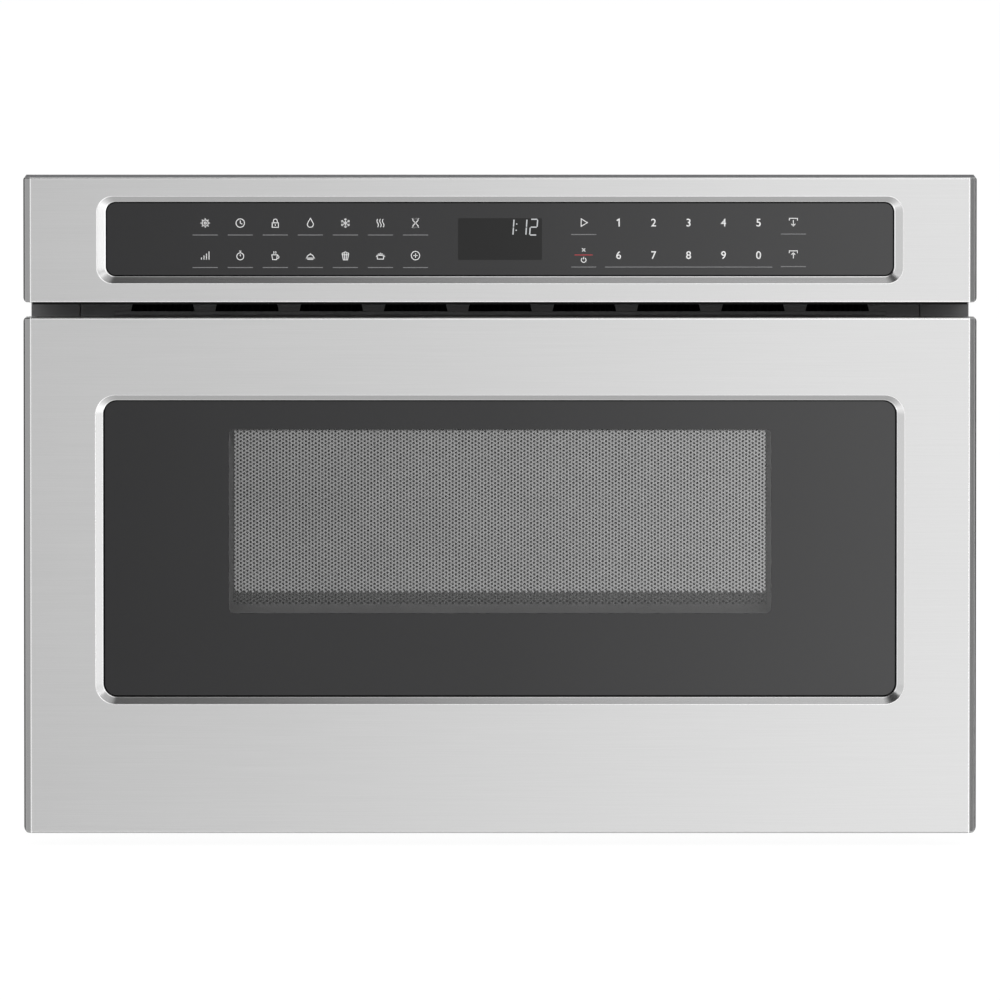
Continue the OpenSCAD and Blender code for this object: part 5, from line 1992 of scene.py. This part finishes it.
@dataclass
class Studio:
    """Camera, soft light, and the pale floor and plinth that the piece stands on.

    The levels are (position, brightness) stops: of the sky from below to above, and of the cards
    along X. upper_cards holds (name, near, far, strength) and lamps (place, size, power).
    """

    camera_at: Point3 = (0.0, -12.0, 0.9595)
    aim: Point3 = (0.0, -0.046, 0.1917)
    lens: float = 677.9
    sensor: float = 36.0
    far_clip: float = 100.0
    sky: float = 0.55
    sky_levels: tuple[Point2, ...] = (
        (0.0, 0.3), (0.06, 0.34), (0.16, 0.5), (0.27, 0.8), (0.4, 0.62), (0.5, 0.5),
        (0.63, 0.5), (0.72, 0.62), (0.84, 0.6), (0.92, 0.2), (1.0, 0.16),
    )
    card_levels: tuple[Point2, ...] = (
        (0.0, 0.42), (0.25, 0.42), (0.38, 0.315), (0.45, 0.305), (0.5, 0.465), (0.548, 0.765), (0.6, 0.82),
        (0.65, 0.6), (0.7, 0.2), (0.8, 0.12), (0.89, 0.12), (0.925, 1.0), (1.0, 1.0),
    )
    upper_levels: tuple[Point2, ...] = (
        (0.0, 0.04), (0.38, 0.05), (0.45, 0.17), (0.5, 0.46), (0.56, 0.62), (0.64, 0.75), (1.0, 0.8),
    )
    front_card: tuple[float, float, float, float] = (3.2, -2.6, -1.2, 1.3)
    front_strength: float = 2.2
    upper_half: float = 1.6
    upper_z: float = 1.25
    upper_cards: tuple[tuple[str, float, float, float], ...] = (
        ("outer_upper_card", -1.2, -0.47, 0.83), ("inner_upper_card", -0.47, -0.1, 1.8),
    )
    floor_z: float = -0.03
    floor_half: float = 30.0
    floor_grey: float = 0.8
    floor_light: float = 1.09
    floor_seen: float = 0.87
    plinth: tuple[Point3, Point3] = ((-0.26, 0.12, -0.03), (0.26, 0.53, -0.0005))
    lamps: tuple[tuple[Point3, float, float], ...] = (
        ((1.5, -2.4, 1.5), 1.8, 26.0),
        ((-1.7, -2.2, 1.3), 1.8, 15.0),
        ((0.2, 1.2, 2.3), 2.2, 12.0),
    )

    def build(self) -> None:
        """Makes the studio."""
        bpy.context.scene.view_settings.view_transform = "Standard"
        camera = bpy.data.cameras.new("camera")
        camera.lens, camera.sensor_width, camera.clip_end = self.lens, self.sensor, self.far_clip
        bpy.context.scene.camera = self._aimed("camera", camera, self.camera_at)
        self._world()
        self._floor()
        self._cards()
        for number, (place, size, power) in enumerate(self.lamps):
            lamp = bpy.data.lights.new(f"lamp_{number}", "AREA")
            lamp.size, lamp.energy = size, power
            self._aimed(f"lamp_{number}", lamp, place).visible_glossy = False

    def _aimed(self, name: str, data: bpy.types.ID, place: Point3) -> bpy.types.Object:
        """Adds a camera or lamp that points at the piece.

        Args:
            name: its name.
            data: its data.
            place: where it stands.

        Returns:
            The object.
        """
        made = bpy.data.objects.new(name, data)
        made.location = place
        made.rotation_euler = (Vector(self.aim) - Vector(place)).to_track_quat("-Z", "Y").to_euler()
        bpy.context.scene.collection.objects.link(made)
        return made

    def _world(self) -> None:
        """White behind the piece, an even sky for its paint and a shaded one for its reflections."""
        world = bpy.context.scene.world = bpy.data.worlds.new("studio")
        world.use_nodes = True
        graph = Graph(world.node_tree)
        camera, through, glossy = (graph.node("ShaderNodeLightPath", output=f"Is {name} Ray")
                                   for name in ("Camera", "Transmission", "Glossy"))
        coords = graph.node("ShaderNodeTexCoord", output="Generated")
        side, height = (graph.node("ShaderNodeSeparateXYZ", None, {0: coords}, axis) for axis in "XZ")
        across = side.ramp(-0.9, 0.9) * 0.3 + 0.9
        shade = graph.shade_of(graph.levels(height * 0.5 + 0.5, self.sky_levels) * 2 * across)
        soft, even, white = (graph.node("ShaderNodeBackground", None, {"Color": colour, "Strength": strength})
                             for colour, strength in ((shade, 1.0), (WHITE, self.sky), (WHITE, 1.0)))
        seen = graph.mix(camera + through, graph.mix(glossy, even, soft), white)
        graph.node("ShaderNodeOutputWorld", None, {"Surface": seen})

    @staticmethod
    def _plain(name: str, corners: Sequence[Point3], material: bpy.types.Material,
               faces: Sequence[tuple[int, ...]] = ((0, 1, 2, 3),)) -> bpy.types.Object:
        """Adds a plain studio surface.

        Args:
            name: its name.
            corners: its corners.
            material: the material.
            faces: corner numbers of its faces.

        Returns:
            The object.
        """
        mesh = bpy.data.meshes.new(name)
        mesh.from_pydata(corners, [], faces)
        mesh.materials.append(material)
        made = bpy.data.objects.new(name, mesh)
        bpy.context.scene.collection.objects.link(made)
        return made

    def _floor(self) -> None:
        """Adds the floor and the plinth. They look white to the camera and still take a faint shadow."""
        material, graph = new_material("studio_floor")
        paper = graph.node("ShaderNodeBsdfDiffuse", None, {"Color": (*(self.floor_grey,) * 3, 1.0)})
        light = graph.node("ShaderNodeEmission", None, {"Color": WHITE, "Strength": self.floor_light})
        seen = graph.node("ShaderNodeLightPath", output="Is Camera Ray") * self.floor_seen
        graph.node("ShaderNodeOutputMaterial", None, {"Surface": graph.mix(seen, paper, light)})
        r, z = self.floor_half, self.floor_z
        corners = [(-r, -r, z), (r, -r, z), (r, r, z), (-r, r, z)]
        self._plain("studio_floor", corners, material).visible_glossy = False
        (x0, y0, z0), (x1, y1, z1) = self.plinth
        corners = [(x, y, z) for z in (z0, z1) for x, y in ((x0, y0), (x1, y0), (x1, y1), (x0, y1))]
        faces = [(3, 2, 1, 0), (4, 5, 6, 7), *((i, (i + 1) % 4, (i + 1) % 4 + 4, i + 4) for i in range(4))]
        self._plain("studio_plinth", corners, material, faces)

    def _card(self, name: str, corners: Sequence[Point3], stops: Stops, strength: float) -> None:
        """Adds a soft screen that only reflections show.

        Args:
            name: its name.
            corners: its corners, the first and second along X.
            stops: its brightness along X as (position, value) pairs.
            strength: what the values are multiplied by.
        """
        material, graph = new_material(name)
        left, right = corners[0][0], corners[1][0]
        x = graph.node("ShaderNodeSeparateXYZ", None, {0: graph.place()}, "X")
        bright = graph.levels((x - left) * (1 / (right - left)), stops) * strength
        shade = graph.node("ShaderNodeEmission", None, {"Color": graph.shade_of(bright), "Strength": 1.0})
        graph.node("ShaderNodeOutputMaterial", None, {"Surface": shade})
        card = self._plain(name, corners, material)
        card.visible_camera = card.visible_diffuse = card.visible_shadow = card.visible_transmission = False

    def _cards(self) -> None:
        """Adds the screen in front and the two above the front."""
        x, y, low, high = self.front_card
        front = [(-x, y, low), (x, y, low), (x, y, high), (-x, y, high)]
        self._card("front_card", front, self.card_levels, self.front_strength)
        x, z = self.upper_half, self.upper_z
        for name, near, far, strength in self.upper_cards:
            above = [(-x, near, z), (x, near, z), (x, far, z), (-x, far, z)]
            self._card(name, above, self.upper_levels, strength)


def main() -> None:
    """Builds the scene."""
    logging.basicConfig(level=logging.INFO, format="%(message)s")
    Studio().build()
    CarriedOver().dress()
    for group in (CasingBeads, ControlPanel, VentShadeStrip, GapTrim, DrawerFront):
        group().build()
    bpy.context.view_layer.update()


if __name__ == "__main__":
    main()
